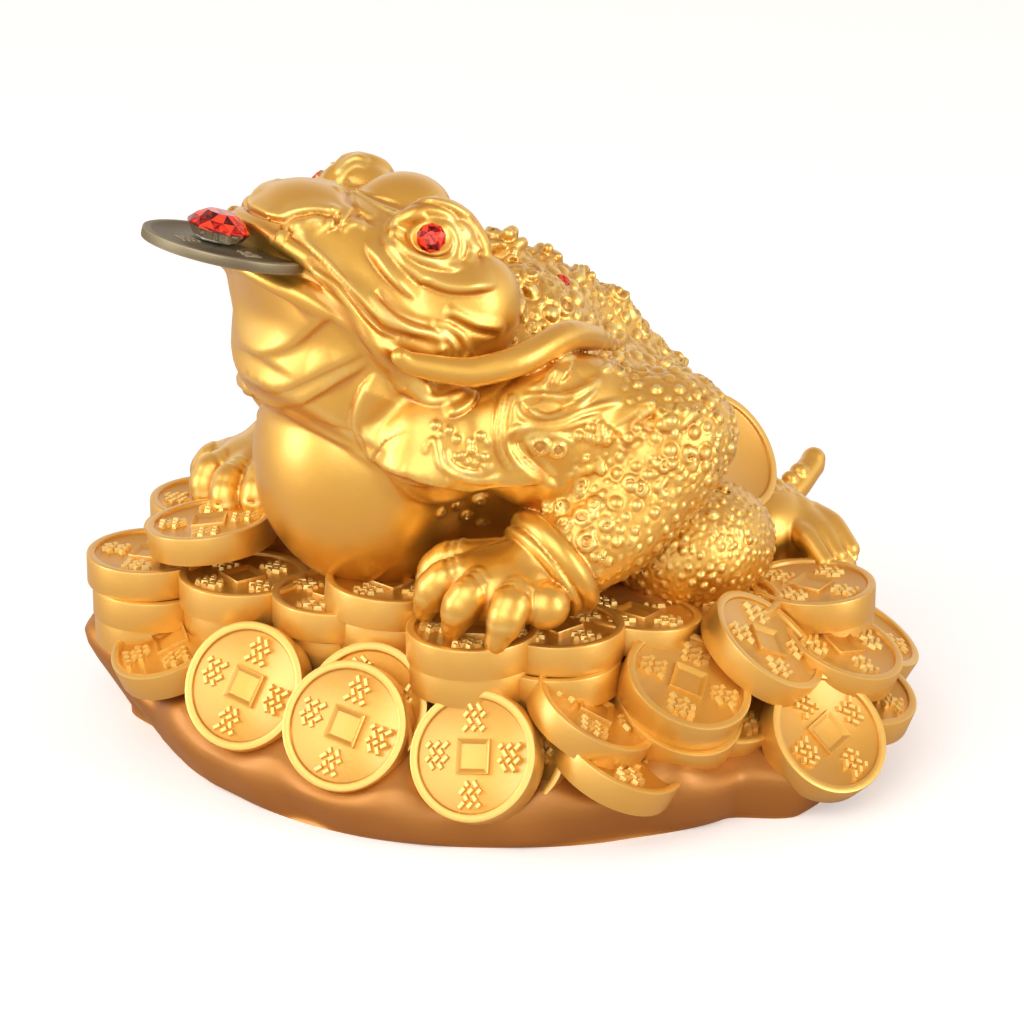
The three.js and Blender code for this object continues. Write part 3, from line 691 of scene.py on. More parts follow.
    def hind_leg(self) -> None:
        """Build the single hind leg, with a smooth shank and a broad foot, and the tail."""
        self.clay.ball((15, 42, 1), (10, 11, 8), blend=3)
        self.clay.rope([(15, 44, 0), (19.5, 48, 0), (24.5, 49.2, -1.3), (29.2, 49.5, -4.4)], (6, 5.0, 5.2, 4.0), 1.5)
        self.clay.ball((19.3, 48.6, 3), (3.4, 3.4, 3.0), blend=0.6)
        for aside in (-3.2, 0.1, 3.4):
            root, end = np.array([[20.8, 48.5, 2.5], [30.5, 49.2, -1.4]]) + aside * np.array([0.2, -0.95, -0.1])
            self.clay.rope([root, (root + end) / 2 + (0, 0, 1.0), end], (1.8, 2.2, 1.8), 0.35)
            self.clay.rope([end, end + (1.6, 0.1, -1.2)], (1.2, 0.5), 0.2)
        self.clay.rope([(9, 46, 1), (8, 55, 1.2), (5, 62.5, 4.3)], (4, 2.5, 2.3), 1.5)
        for spot, size in (((4.6, 63.2, 5.2), 2.1), ((6.8, 58.5, 4.4), 1.7), ((7.5, 56, 3.8), 1.5)):
            self.clay.ball(spot, (size, size, size), blend=0.3)

    def studded(self, centre: Point, radius: float, studs: int = 9) -> None:
        """Add a lump with small knobs all over its upper half."""
        self.clay.ball(centre, (radius, radius, 0.9 * radius), blend=0.9)
        for stud in range(studs):
            turn, rise = 2.4 * stud, 0.15 + 0.8 * stud / studs
            flat = math.sqrt(1 - rise * rise)
            way = np.array([flat * math.cos(turn), flat * math.sin(turn), 0.9 * rise])
            size = radius * (0.24 + 0.08 * math.sin(5 * stud))
            self.clay.ball(tuple(np.array(centre) + 0.97 * radius * way), (size, size, size), blend=0.25)

    def spine(self) -> None:
        """Set a row of studded knobs along a low ridge on the back, with lumps on each side."""
        self.clay.rope([(0, -2, 49), (0, 10, 44.5), (0, 21.5, 37), (0, 30, 28.5), (0, 42, 17)], (3.5, 4.5, 5, 4, 3), 3)
        for y, z, radius in self.knobs:
            self.studded((0.4 * math.sin(2 * y), y, z), radius)
        for index in range(5):
            along = index / 4
            for side in (1, -1):
                self.studded((side * (8.2 + 3 * along), -1 + 34 * along, 49.6 - 25.5 * along), 3.2 - 0.6 * along, 7)

    def shoulder(self) -> None:
        """Draw the flames, the leaves and the pearls on each shoulder and breast."""
        self.lap((
            Fold(((445, 418), (458, 415), (469, 408), (475, 400), (478, 391)), (452, 402), 1.12, 2.6),
            Fold(((553, 369), (550, 380), (554, 389), (565, 389), (584, 383), (598, 371)), (575, 370), -1.4, 3.5),
            Fold(((523, 400), (528, 411), (542, 416), (558, 413), (575, 404)), (550, 402), -1.26, 3.0),
            Fold(((614, 434), (626, 424), (640, 414), (654, 406)), (630, 440), -1.68, 4.0),
            Fold(((655, 408), (653, 421), (655, 432), (668, 432), (682, 428), (694, 420), (700, 410)), (680, 410),
                 1.2, 4.5),
            Fold(((510, 434), (512, 446), (517, 456), (530, 468), (545, 478), (558, 490)), (535, 450), -1.26, 3.5),
            Fold(((360, 425), (366, 444), (378, 461), (397, 474), (420, 482)), (400, 440), 1.1, 2.6),
            Fold(((400, 471), (420, 483), (437, 486), (470, 488), (514, 483), (543, 484)), (450, 470), 1.4, 3.5),
        ))
        self.draw((
            Stroke(((504, 392), (500, 410), (497, 434), (500, 453), (511, 472)), 1.78, 0.47),
            Stroke(((513, 394), (508, 410), (505, 432), (508, 450), (521, 470)), 1.78, 0.47),
            Stroke(((518, 403), (522, 416), (538, 423), (559, 421), (580, 412), (604, 405), (622, 402)), 1.78, 0.45),
            Stroke(((527, 409), (547, 417), (563, 413), (584, 402), (597, 389)), 1.56, 0.41),
            Stroke(((518, 428), (533, 427), (555, 429), (580, 422), (600, 416)), 1.56, 0.45),
            Stroke(((522, 398), (534, 396), (552, 396), (566, 397), (580, 391), (600, 380)), 1.56, 0.45),
            Stroke(((530, 390), (545, 383), (552, 372), (556, 362)), 1.37, 0.45),
            Stroke(((556, 362), (572, 356), (592, 354), (612, 357)), 1.37, 0.45),
            Stroke(((600, 371), (610, 366), (618, 357)), 1.37, 0.5),
            Stroke(((522, 426), (512, 432), (512, 444), (518, 456), (528, 465), (543, 476), (557, 489)), 1.96, 0.5),
            Stroke(((527, 436), (531, 450), (543, 463), (556, 476)), 1.37, 0.39),
            Stroke(((527, 436), (542, 434), (560, 437), (575, 444)), 1.18, 0.39),
            Stroke(((425, 455), (428, 445), (434, 441), (437, 452), (441, 466), (457, 476), (482, 481), (503, 477)),
                   1.56, 0.45),
            Stroke(((444, 448), (448, 461), (461, 471), (482, 473), (494, 466)), 1.37, 0.39),
            Stroke(((600, 445), (612, 437), (627, 428), (641, 418), (653, 407)), 1.56, 0.45),
            Stroke(((566, 478), (580, 473), (594, 468), (604, 461)), 1.37, 0.45),
            Stroke(((620, 452), (632, 447), (642, 441)), 1.37, 0.5),
        ))
        pearl = 0.72
        pearls = ((435, 425), (449, 430), (457, 439), (471, 442), (488, 442), (463, 455), (471, 450), (478, 455),
                  (485, 457), (475, 463), (485, 466), (456, 456), (441, 434), (480, 436), (466, 462))
        balls = ((578, 436, 0.9), (584, 459, 0.6), (590, 428, 1.0), (600, 426, 1.0), (608, 432, 1.0),
                 (606, 441, 1.0), (595, 440, 1.0), (600, 434, 1.1), (588, 437, 0.8), (628, 437, 0.9),
                 (637, 428, 0.8), (545, 604, 1.4))
        rings = ((540, 446, 1.35), (558, 450, 1.2), (582, 517, 1.3), (586, 542, 1.3), (595, 505, 1.1),
                 (564, 524, 1.1), (550, 532, 1.0), (561, 508, 1.0), (547, 506, 0.8), (543, 518, 0.8),
                 (564, 536, 0.8), (606, 524, 1.0), (579, 491, 0.9), (630, 483, 1.1), (641, 489, 1.0),
                 (665, 465, 1.0), (690, 455, 1.1), (480, 500, 0.8), (457, 504, 0.8), (466, 515, 0.7),
                 (442, 512, 0.7), (483, 522, 0.7), (618, 542, 0.7), (601, 557, 0.7))
        for spots, ringed in ((pearls, False), (balls, False), (rings, True)):
            for spot, place in zip(spots, self.clay.seen([spot[:2] for spot in spots])):
                size = spot[2] if len(spot) > 2 else pearl
                for centre in self.both(place):
                    if ringed:
                        self.clay.wart(centre, size, 0.75, True)
                    else:
                        self.clay.ball(tuple(centre), (size, size, size), blend=0.15)

    def warts(self, low: Point, high: Point, sizes: tuple[float, float], height: float, spacing: float,
              rings: float = 0.0) -> int:
        """Scatter warts over the skin between two corners, the same on both sides.

        Args:
            low: The region's lowest corner, on the left side.
            high: Its highest corner.
            sizes: The smallest and the largest radius.
            height: How far a wart of the middle size rises.
            spacing: How far apart they are, as a share of their two radii together.
            rings: The share of warts with a ring round them.

        Returns:
            How many warts were set on one side.
        """
        found = self.clay.skin(low, high)
        if not len(found):
            return 0
        most = 24000
        found = found[self.chance.permutation(len(found))[:most]]
        radii = self.chance.uniform(*sizes, len(found))
        kept = np.zeros((0, 4))
        for place, radius in zip(found, radii):
            if len(kept):
                gaps = np.linalg.norm(kept[:, :3] - place, axis=1)
                if (gaps < spacing * (kept[:, 3] + radius)).any():
                    continue
            kept = np.vstack([kept, [*place, radius]])
        middle = sum(sizes) / 2
        for *place, radius in kept:
            ringed = self.chance.random() < rings
            for centre in self.both(place):
                self.clay.wart(centre, radius, height * radius / middle, ringed)
        return len(kept)

    def skin(self) -> None:
        """Cover the back, the arms and the haunches with warts."""
        for low, high, sizes, height, spacing, rings in (
            ((30, -9, 9), (49, 26, 30), (0.42, 1.15), 0.5, 1.22, 0.12),
            ((29, 2, 24), (48, 26, 43), (0.6, 1.4), 0.6, 1.08, 0.25),
            ((17, 6, -6), (41, 40, 20), (0.45, 0.8), 0.42, 1.15, 0.0),
            ((0, -8, 30), (22, 46, 60), (0.7, 1.9), 0.6, 1.08, 0.45),
            ((20, 6, 36), (32, 30, 48), (0.7, 1.6), 0.6, 1.08, 0.4),
            ((0, 22, 6), (19, 53, 30), (0.7, 1.7), 0.55, 1.12, 0.35),
            ((17, 12, 16), (31, 42, 36), (0.6, 1.4), 0.55, 1.12, 0.3),
        ):
            self.warts(low, high, sizes, height, spacing, rings)

    def sculpt(self) -> None:
        """Work the whole toad, from its masses to its warts."""
        for work in (self.trunk, self.head, self.eyes, self.mouth, self.face, self.throat, self.arms, self.whiskers,
                     self.hind_leg, self.spine, self.shoulder, self.skin):
            work()
        for side, step in self.steps:
            self.paw(side, step)
            self.bangle(side, step)


# Meshes.


def mesh_of(clay: Clay) -> tuple[np.ndarray, np.ndarray]:
    """Mesh the clay's skin with one point in each cell that it passes through.

    Args:
        clay: The finished clay.

    Returns:
        The points, and the four corners of each face.
    """
    values = clay.field
    inside = values < 0
    count = np.zeros(tuple(n - 1 for n in values.shape), np.uint8)
    steps = [np.array([c & 1, (c >> 1) & 1, c >> 2]) for c in range(8)]
    for step in steps:
        count += inside[tuple(slice(s, n - 1 + s) for s, n in zip(step, values.shape))]
    cells = np.argwhere((count > 0) & (count < 8))
    number = np.full(count.shape, -1, np.int32)
    number[tuple(cells.T)] = np.arange(len(cells))
    corner = np.stack([values[tuple((cells + s).T)] for s in steps], 1)
    total, hits = np.zeros((len(cells), 3)), np.zeros(len(cells))
    for a in range(8):
        for bit in (1, 2, 4):
            if a & bit:
                continue
            b = a | bit
            crossed = (corner[:, a] < 0) != (corner[:, b] < 0)
            share = corner[crossed, a] / (corner[crossed, a] - corner[crossed, b])
            total[crossed] += steps[a] + share[:, None] * (steps[b] - steps[a])
            hits[crossed] += 1
    points = clay.low + clay.pitch * (cells + total / hits[:, None])
    quads = []
    for axis in range(3):
        first, second = (axis + 1) % 3, (axis + 2) % 3
        low = [slice(1, n - 1) for n in values.shape]
        low[axis] = slice(0, values.shape[axis] - 1)
        high = list(low)
        high[axis] = slice(1, values.shape[axis])
        flips = np.argwhere(inside[tuple(low)] != inside[tuple(high)])
        flips[:, first] += 1
        flips[:, second] += 1
        one, two = np.eye(3, dtype=int)[[first, second]]
        faces = np.stack([number[tuple((flips - move).T)] for move in (one + two, two, 0, one)], 1)
        outward = inside[tuple(flips.T)]
        quads.append(np.where(outward[:, None], faces, faces[:, ::-1]))
    return points, np.concatenate(quads)


def slopes_of(clay: Clay, points: np.ndarray, faces: np.ndarray) -> np.ndarray:
    """Find the outward direction of the clay's skin at each point.

    The clay's own slope is used, and the faces' slope where the clay's is uneven.

    Args:
        clay: The finished clay.
        points: The skin's points.
        faces: The four corners of each face.

    Returns:
        A direction of length 1 for each point.
    """
    step = 0.8 * clay.pitch
    slopes = np.stack([clay.sample(points + step * way) - clay.sample(points - step * way) for way in np.eye(3)], 1)
    corners = points[faces]
    leans = np.cross(corners[:, 2] - corners[:, 0], corners[:, 3] - corners[:, 1])
    facing = np.stack([sum(np.bincount(faces[:, corner], leans[:, way], len(points)) for corner in range(4))
                       for way in range(3)], 1)
    slopes /= np.linalg.norm(slopes, axis=1, keepdims=True) + 1e-9
    facing /= np.linalg.norm(facing, axis=1, keepdims=True) + 1e-9
    astray = (slopes * facing).sum(1) < 0.75
    slopes[astray] = facing[astray]
    return slopes


def relief_of(clay: Clay, points: np.ndarray, slopes: np.ndarray, reach: float = 0.9) -> np.ndarray:
    """Return how far each point of the skin stands out: about 1 on a crest, 0.5 on a plain and 0 in a hollow."""
    sum_of_sides = clay.sample(points + reach * slopes) + clay.sample(points - reach * slopes)
    return np.clip(0.5 + sum_of_sides / reach, 0, 1)


def linked(name: str, data: bpy.types.ID) -> bpy.types.Object:
    """Make an object of a mesh, a light or a camera, and link it to the scene."""
    made = bpy.data.objects.new(name, data)
    bpy.context.scene.collection.objects.link(made)
    return made


def write_relief(mesh: bpy.types.Mesh, relief: np.ndarray) -> None:
    """Keep how far each point stands out with the mesh, for its material's painted shade and highlights."""
    layer = mesh.attributes.new("relief", "FLOAT", "POINT")
    layer.data.foreach_set("value", relief.astype(np.float32))


def mesh_object(name: str, points: np.ndarray, faces: np.ndarray, slopes: np.ndarray,
                relief: np.ndarray) -> bpy.types.Object:
    """Make an object of four-sided faces with its own normals, and close its cut ends.

    Args:
        name: The object's name.
        points: Its points in metres.
        faces: The four corners of each face.
        slopes: The outward direction at each point.
        relief: How far each point stands out.

    Returns:
        The object, linked to the scene.
    """
    mesh = bpy.data.meshes.new(name)
    mesh.vertices.add(len(points))
    mesh.vertices.foreach_set("co", points.astype(np.float32).ravel())
    mesh.loops.add(faces.size)
    mesh.loops.foreach_set("vertex_index", faces.astype(np.int32).ravel())
    mesh.polygons.add(len(faces))
    mesh.polygons.foreach_set("loop_start", np.arange(0, faces.size, 4, dtype=np.int32))
    mesh.update(calc_edges=True)
    write_relief(mesh, relief)
    mesh.attributes.new("slope", "FLOAT_VECTOR", "POINT").data.foreach_set("vector", slopes.astype(np.float32).ravel())
    shape = bmesh.new()
    shape.from_mesh(mesh)
    slope = shape.verts.layers.float_vector["slope"]
    open_edges = [edge for edge in shape.edges if edge.is_boundary]
    if open_edges:
        for part in bmesh.ops.extrude_edge_only(shape, edges=open_edges)["geom"]:
            if isinstance(part, bmesh.types.BMVert):
                part.co -= LIP_DEPTH * part[slope] * Vector((1, 0, 1))
        bmesh.ops.holes_fill(shape, edges=[edge for edge in shape.edges if edge.is_boundary], sides=0)
    for face in shape.faces:
        face.smooth = True
    shape.to_mesh(mesh)
    shape.free()
    found = np.empty(3 * len(mesh.vertices), np.float32)
    mesh.attributes["slope"].data.foreach_get("vector", found)
    mesh.normals_split_custom_set_from_vertices(found.reshape(-1, 3))
    mesh.attributes.remove(mesh.attributes["slope"])
    return linked(name, mesh)


def object_of(shape: bmesh.types.BMesh, name: str, sharp: float = 35.0) -> bpy.types.Object:
    """Turn a finished shape into an object whose edges are smooth up to an angle.

    Args:
        shape: The shape in metres, which is freed.
        name: The object's name.
        sharp: The angle in degrees past which an edge stays sharp.

    Returns:
        The object, linked to the scene.
    """
    limit = math.radians(sharp)
    for face in shape.faces:
        face.smooth = True
    for edge in shape.edges:
        edge.smooth = edge.calc_face_angle(0.0) < limit
    mesh = bpy.data.meshes.new(name)
    # How far each point stands out, from the bends of its edges, for the material's painted shade and highlights.
    relief = np.full(len(shape.verts), 0.5)
    for index, vert in enumerate(shape.verts):
        bends = [edge.calc_face_angle_signed(0.0) for edge in vert.link_edges]
        relief[index] += max(-0.5, min(0.5, 0.5 * sum(bends) / max(len(bends), 1)))
    shape.to_mesh(mesh)
    shape.free()
    write_relief(mesh, relief)
    return linked(name, mesh)


def lathe(profile: Sequence[tuple[float, float]], steps: int) -> bmesh.types.BMesh:
    """Spin a profile about Z, and leave its ends open.

    Args:
        profile: Radius and height of each point.
        steps: How many steps go round.

    Returns:
        The shape.
    """
    shape = bmesh.new()
    points = [shape.verts.new((radius, 0, height)) for radius, height in profile]
    edges = [shape.edges.new(pair) for pair in zip(points, points[1:])]
    bmesh.ops.spin(shape, geom=points + edges, axis=(0, 0, 1), cent=(0, 0, 0), angle=math.tau, steps=steps,
                   use_merge=True)
    return shape


def spun(profile: Sequence[tuple[float, float]], steps: int) -> bmesh.types.BMesh:
    """Spin a profile that starts and ends on the axis, lowest first, into a closed shape."""
    shape = lathe(profile, steps)
    bmesh.ops.remove_doubles(shape, verts=shape.verts[:], dist=1e-6)
    bmesh.ops.recalc_face_normals(shape, faces=shape.faces[:])
    return shape


def poured(target: bmesh.types.BMesh, source: bmesh.types.BMesh, place: Matrix) -> None:
    """Copy one shape into another at a place, and free it."""
    bmesh.ops.transform(source, matrix=place, verts=source.verts[:])
    if place.determinant() < 0:
        bmesh.ops.reverse_faces(source, faces=source.faces[:])
    mesh = bpy.data.meshes.new("poured")
    source.to_mesh(mesh)
    source.free()
    target.from_mesh(mesh)
    bpy.data.meshes.remove(mesh)


def block(size: Point) -> bmesh.types.BMesh:
    """Return a box of a size, with its middle at the origin."""
    shape = bmesh.new()
    bmesh.ops.create_cube(shape, size=1.0)
    bmesh.ops.transform(shape, matrix=Matrix.Diagonal((*size, 1)), verts=shape.verts[:])
    return shape


def soften(shape: bmesh.types.BMesh, offset: float, segments: int) -> None:
    """Bevel all the edges of a shape."""
    bmesh.ops.bevel(shape, geom=shape.edges[:], offset=offset, offset_type="OFFSET", affect="EDGES",
                    segments=segments, profile=0.5, material=-1, clamp_overlap=True)


def settle(shape: bmesh.types.BMesh, place: Matrix) -> None:
    """Bring a shape from millimetres about the origin to its place in metres."""
    bmesh.ops.transform(shape, matrix=place @ Matrix.Scale(MM, 4), verts=shape.verts[:])


def standing(way: Sequence[float]) -> Matrix:
    """Return the turn that stands a piece's own Z along a direction."""
    return Vector((0, 0, 1)).rotation_difference(Vector(way)).to_matrix().to_4x4()


# Coins.


class Face(Enum):
    """How much of a cast coin's face shows."""

    PLAIN = "plain"
    DISHED = "dished"
    FRAMED = "framed"


@dataclass(frozen=True)
class Lie:
    """Where a cast coin lies on the heap.

    The angle goes round the heap, the lean is from level, and the spin is counted from where the face is upright.
    All of them, with the way it leans, are degrees.
    """

    angle: float
    out: float
    height: float
    lean: float = 0.0
    toward: float = 0.0
    spin: float = 0.0
    stack: int = 1


@dataclass
class Coins:
    """The cast coins of the heap."""

    shift: Vector
    radius: float = 10.7
    thickness: float = 4.9
    stacked: float = 5.3
    rim: float = 1.35
    recess: float = 0.7
    hole: float = 5.7
    wall: float = 0.85
    mark_place: float = 6.15
    base_radius: float = 66.0
    seat: float = 30.0
    steps: int = 56
    seed: int = 11
    haunch: Point = (20.8, 33.8, 17.8)
    haunch_facing: Point = (0.75, 0.3, 0.6)
    front: tuple[Lie, ...] = (
        Lie(-84.4, 0.795, 0.643, 60, -60, -12),
        Lie(-61, 0.78, 0.59, 61, -55, -12),
        Lie(-59.5, 0.705, 0.645, 60, -56, 20),
        Lie(-36.7, 0.82, 0.54, 62, -56, 8),
        Lie(-31, 0.74, 0.51, 60, -57, 10),
        Lie(-107.2, 0.852, 0.69, 25, -92, -20),
        Lie(-118, 0.727, 1.255, 7, -140, 15),
        Lie(-107, 0.659, 1.03, stack=2),
        Lie(-121, 0.879, 1.033, spin=40, stack=3),
        Lie(-141, 0.773, 1.133, spin=-30, stack=3),
        Lie(-147, 0.667, 1.267, spin=70, stack=3),
        Lie(-85, 0.5, 1.033, spin=20, stack=2),
        Lie(-68, 0.447, 1.155, 4, 73, 35, 2),
        Lie(-38, 0.606, 1.09, spin=50, stack=2),
        Lie(-17, 0.576, 1.065, spin=10, stack=2),
        Lie(7.5, 0.545, 1.02, 7, 87, 30),
        Lie(32, 0.618, 0.965, spin=60, stack=2),
        Lie(-13.5, 0.758, 0.733, 30, 40, 15),
        Lie(-10.5, 0.818, 0.51, 27, 42, 30),
        Lie(3.6, 0.8, 0.82, 30, 8, 40, 2),
        Lie(14, 0.773, 0.63, 30, 5, 10),
        Lie(22, 0.832, 0.9, 37, 38, 42),
        Lie(21.8, 1.012, 0.455, 49, 4, 20),
        Lie(36.5, 0.932, 0.755, 22, 34, -30),
        Lie(36.5, 0.97, 0.51, 22, 27, 15),
        Lie(52, 0.95, 0.62, 30, 50, 15),
        Lie(45, 0.818, 0.97, spin=25, stack=2),
    )

    def behind(self) -> list[Lie]:
        """Return the coins round the back and the right side, in two rings."""
        lies = []
        for index in range(7):
            angle, lifted = 62 + index * 22, index % 2 == 0
            lies.append(Lie(angle, 0.864 if lifted else 0.909, 0.633 if lifted else 0.567, 32 if lifted else 48,
                            angle + (12 if lifted else -10), 23 * index))
        for index in range(5):
            lies.append(Lie(78 + index * 31, 0.652, 0.93 + 0.067 * (index % 2), 4, 50 * index, 31 * index, 2))
        return lies

    def disc(self, face: Face, t: float) -> bmesh.types.BMesh:
        """Spin one coin with its face up, the middle of its face at the origin.

        Args:
            face: How much of the face shows.
            t: The coin's thickness.

        Returns:
            The coin, in millimetres.
        """
        r, dip = self.radius, self.recess
        inner = r - self.rim
        profile = [(0, -t), (r - 0.4, -t), (r - 0.1, -t + 0.1), (r, -t + 0.4), (r, -0.36), (r - 0.09, -0.09),
                   (r - 0.33, 0), (inner + 0.16, 0), (inner, -0.1), (inner - 0.14, -dip + 0.14),
                   (inner - 0.36, -dip), (0, -dip)]
        shape = spun(profile, self.steps)
        if face is Face.FRAMED:
            self.frame_hole(shape)
            for quarter in range(4):
                self.strokes(shape, quarter)
        return shape

    def frame_hole(self, shape: bmesh.types.BMesh) -> None:
        """Raise the square frame round the coin's hole."""
        height = self.recess + 0.4
        square = block((self.hole, self.hole, height))
        bmesh.ops.translate(square, vec=(0, 0, -height / 2 - 0.02), verts=square.verts[:])
        top = max(square.faces, key=lambda f: f.calc_center_median().z)
        bmesh.ops.inset_region(square, faces=[top], thickness=self.wall, use_even_offset=True)
        bmesh.ops.translate(square, vec=(0, 0, -self.recess), verts=top.verts[:])
        soften(square, 0.16, 2)
        poured(shape, square, Matrix.Identity(4))

    def strokes(self, shape: bmesh.types.BMesh, quarter: int) -> None:
        """Raise rows of short slanted strokes on one quarter of the face, in place of an inscription."""
        turn = math.radians(90 * quarter)
        middle = Vector((-math.sin(turn), math.cos(turn), 0)) * self.mark_place
        for row in range(4):
            slant = Matrix.Rotation(math.radians(34 if (row + quarter) % 2 else -42), 4, "Z")
            count = 3 - (row + quarter) % 2
            for column in range(count):
                long = 1.25 + 0.25 * math.sin(7 * quarter + 3 * row + 5 * column)
                bar = block((0.95, long, self.recess - 0.05))
                for vert in bar.verts:
                    if vert.co.z > 0:
                        vert.co.x *= 0.55
                        vert.co.y *= 0.8
                spot = middle + Vector((1.45 * (column - (count - 1) / 2), 1.12 * (row - 1.5), -0.55 * self.recess))
                poured(shape, bar, Matrix.Translation(spot) @ slant)

    def at(self, spot: Sequence[float]) -> Matrix:
        """Return the move from the origin, in millimetres, to a place on the heap, in metres."""
        return Matrix.Translation(self.shift) @ Matrix.Scale(MM, 4) @ Matrix.Translation(spot)

    def placed(self, lie: Lie) -> Matrix:
        """Return where a coin lies, in metres."""
        turn, tip, way = math.radians(lie.angle), math.radians(lie.lean), math.radians(lie.toward)
        facing = Vector((math.sin(tip) * math.cos(way), math.sin(tip) * math.sin(way), math.cos(tip)))
        reach = lie.out * self.base_radius
        spot = (reach * math.cos(turn), reach * math.sin(turn), lie.height * self.seat)
        spin = Matrix.Rotation(way + math.radians(90 + lie.spin), 4, "Z")
        return self.at(spot) @ standing(facing) @ spin

    def lay(self, shape: bmesh.types.BMesh, lie: Lie, chance: random.Random) -> None:
        """Lay one coin, or a stack of thicker coins each a little off the one above."""
        place = self.placed(lie)
        thick = self.thickness if lie.stack == 1 else self.stacked
        for level in range(lie.stack):
            face = Face.PLAIN if level else Face.FRAMED
            aside = [chance.uniform(-1.3, 1.3) * (level > 0) for _ in range(2)]
            poured(shape, self.disc(face, thick), place @ Matrix.Translation((*aside, -level * (thick - 0.15))))

    def build(self) -> list[bpy.types.Object]:
        """Build the heap's coins and those on the toad's haunches.

        Returns:
            The coins round the front and round the back.
        """
        chance = random.Random(self.seed)
        front, back = bmesh.new(), bmesh.new()
        for shape, lies in ((front, self.front), (back, self.behind())):
            for lie in lies:
                self.lay(shape, lie, chance)
        (x, y, z), (fx, fy, fz) = self.haunch, self.haunch_facing
        for side in (1, -1):
            stand = standing(Vector((side * fx, fy, fz)).normalized())
            poured(back, self.disc(Face.DISHED, self.thickness), self.at((side * x, y, z + self.seat)) @ stand)
        return [object_of(front, "heap_coins_front", 40), object_of(back, "heap_coins_back", 40)]


# Base.


@dataclass
class Base:
    """The rock-like base under the heap.

    The rim gives an angle, a share of the radius and a share of the rim's height. The rings, from below, give a share
    of the reach, a share of the undercut, and a rise of 0 to 1 up to the rim and of 1 to 2 from there to the middle.
    """

    shift: Vector
    radius: float = 66.0
    rim_height: float = 10.0
    undercut: float = 8.5
    lowest_rim: float = 0.4
    mound: float = 30.6
    steps: int = 360
    swell: float = 2.6
    gaps: tuple[float, ...] = (-98, -74, -49, -25, -3, 31, 52, 95, 118, 140, 162, 185, 210)
    rim: tuple[tuple[float, float, float], ...] = (
        (-168, 1.03, 1.25), (-150, 1.05, 1.5), (-138, 1.095, 1.6), (-125, 1.11, 1.65), (-115, 0.99, 1.3),
        (-104, 0.925, 1), (-82, 0.88, 0.85), (-58, 0.868, 0.75), (-34, 0.864, 0.75), (-12, 0.905, 0.95),
        (8, 0.94, 0.98), (17, 1.05, 0.92), (28, 1.04, 0.85), (45, 1.05, 0.8), (60, 1.04, 0.8), (95, 1, 0.9),
        (132, 0.985, 1), (170, 1, 1.2),
    )
    rings: tuple[tuple[float, float, float], ...] = (
        (0.0, 0, 0), (0.7, 0, 0), (0.995, 1, 0), (1.004, 1, 0.08), (1.008, 0.86, 0.25), (1.008, 0.66, 0.45),
        (1.002, 0.44, 0.63), (0.992, 0.24, 0.79), (0.975, 0.08, 0.91), (0.95, 0, 1.0), (0.92, 0, 1.06),
        (0.88, 0, 1.12), (0.8, 0, 1.25), (0.7, 0, 1.4), (0.5, 0, 2.0), (0.0, 0, 2.0),
    )

    def rim_at(self, angle: float) -> tuple[float, float]:
        """Return the rim's shares of radius and of height at an angle, eased between its points.

        Args:
            angle: The angle round the base in degrees.

        Returns:
            The share of the radius and the share of the height.
        """
        first = self.rim[0][0]
        turn = (angle - first) % 360
        starts = [(entry[0] - first) % 360 for entry in self.rim]
        index = max(i for i, start in enumerate(starts) if start <= turn)
        end = 360 if index == len(self.rim) - 1 else starts[index + 1]
        share = (turn - starts[index]) / (end - starts[index])
        eased = share * share * (3 - 2 * share)
        after = self.rim[(index + 1) % len(self.rim)]
        return tuple(a + (b - a) * eased for a, b in zip(self.rim[index][1:], after[1:]))

    def build(self) -> bpy.types.Object:
        """Spin the base's rings and push them out to its outline.

        Returns:
            The base.
        """
        shape = spun([(share, index * 0.1) for index, (share, _, _) in enumerate(self.rings)], self.steps)
        for vert in shape.verts:
            share, cut, rise = self.rings[round(vert.co.z * 10)]
            angle = math.atan2(vert.co.y, vert.co.x)
            degrees = math.degrees(angle)
            radius_share, height_share = self.rim_at(degrees)
            wave = (0.5 * math.sin(7 * angle + 2 * rise) + 0.35 * math.sin(13 * angle + 1 + rise)
                    + 0.22 * math.sin(23 * angle + 3 * rise))
            reach = share * (radius_share * self.radius - cut * self.undercut * (height_share - self.lowest_rim))
            rim = height_share * self.rim_height
            height = rim * rise if rise <= 1 else rim + (self.mound - rim) * (rise - 1)
            if 0 < rise <= 1.3:
                reach += wave
                gap = sum(math.exp(-(((degrees - place) / 5.5) ** 2)) for place in self.gaps)
                height += min(rise, 1) * (0.4 * wave + self.swell * gap * (rise > 0.8))
            way = Vector((math.cos(angle), math.sin(angle), 0)) if share else Vector()
            vert.co = self.shift + MM * (way * reach + Vector((0, 0, max(height, 0.0))))
        return object_of(shape, "rock_base", 60)


# Mouth coin, stones and glue.


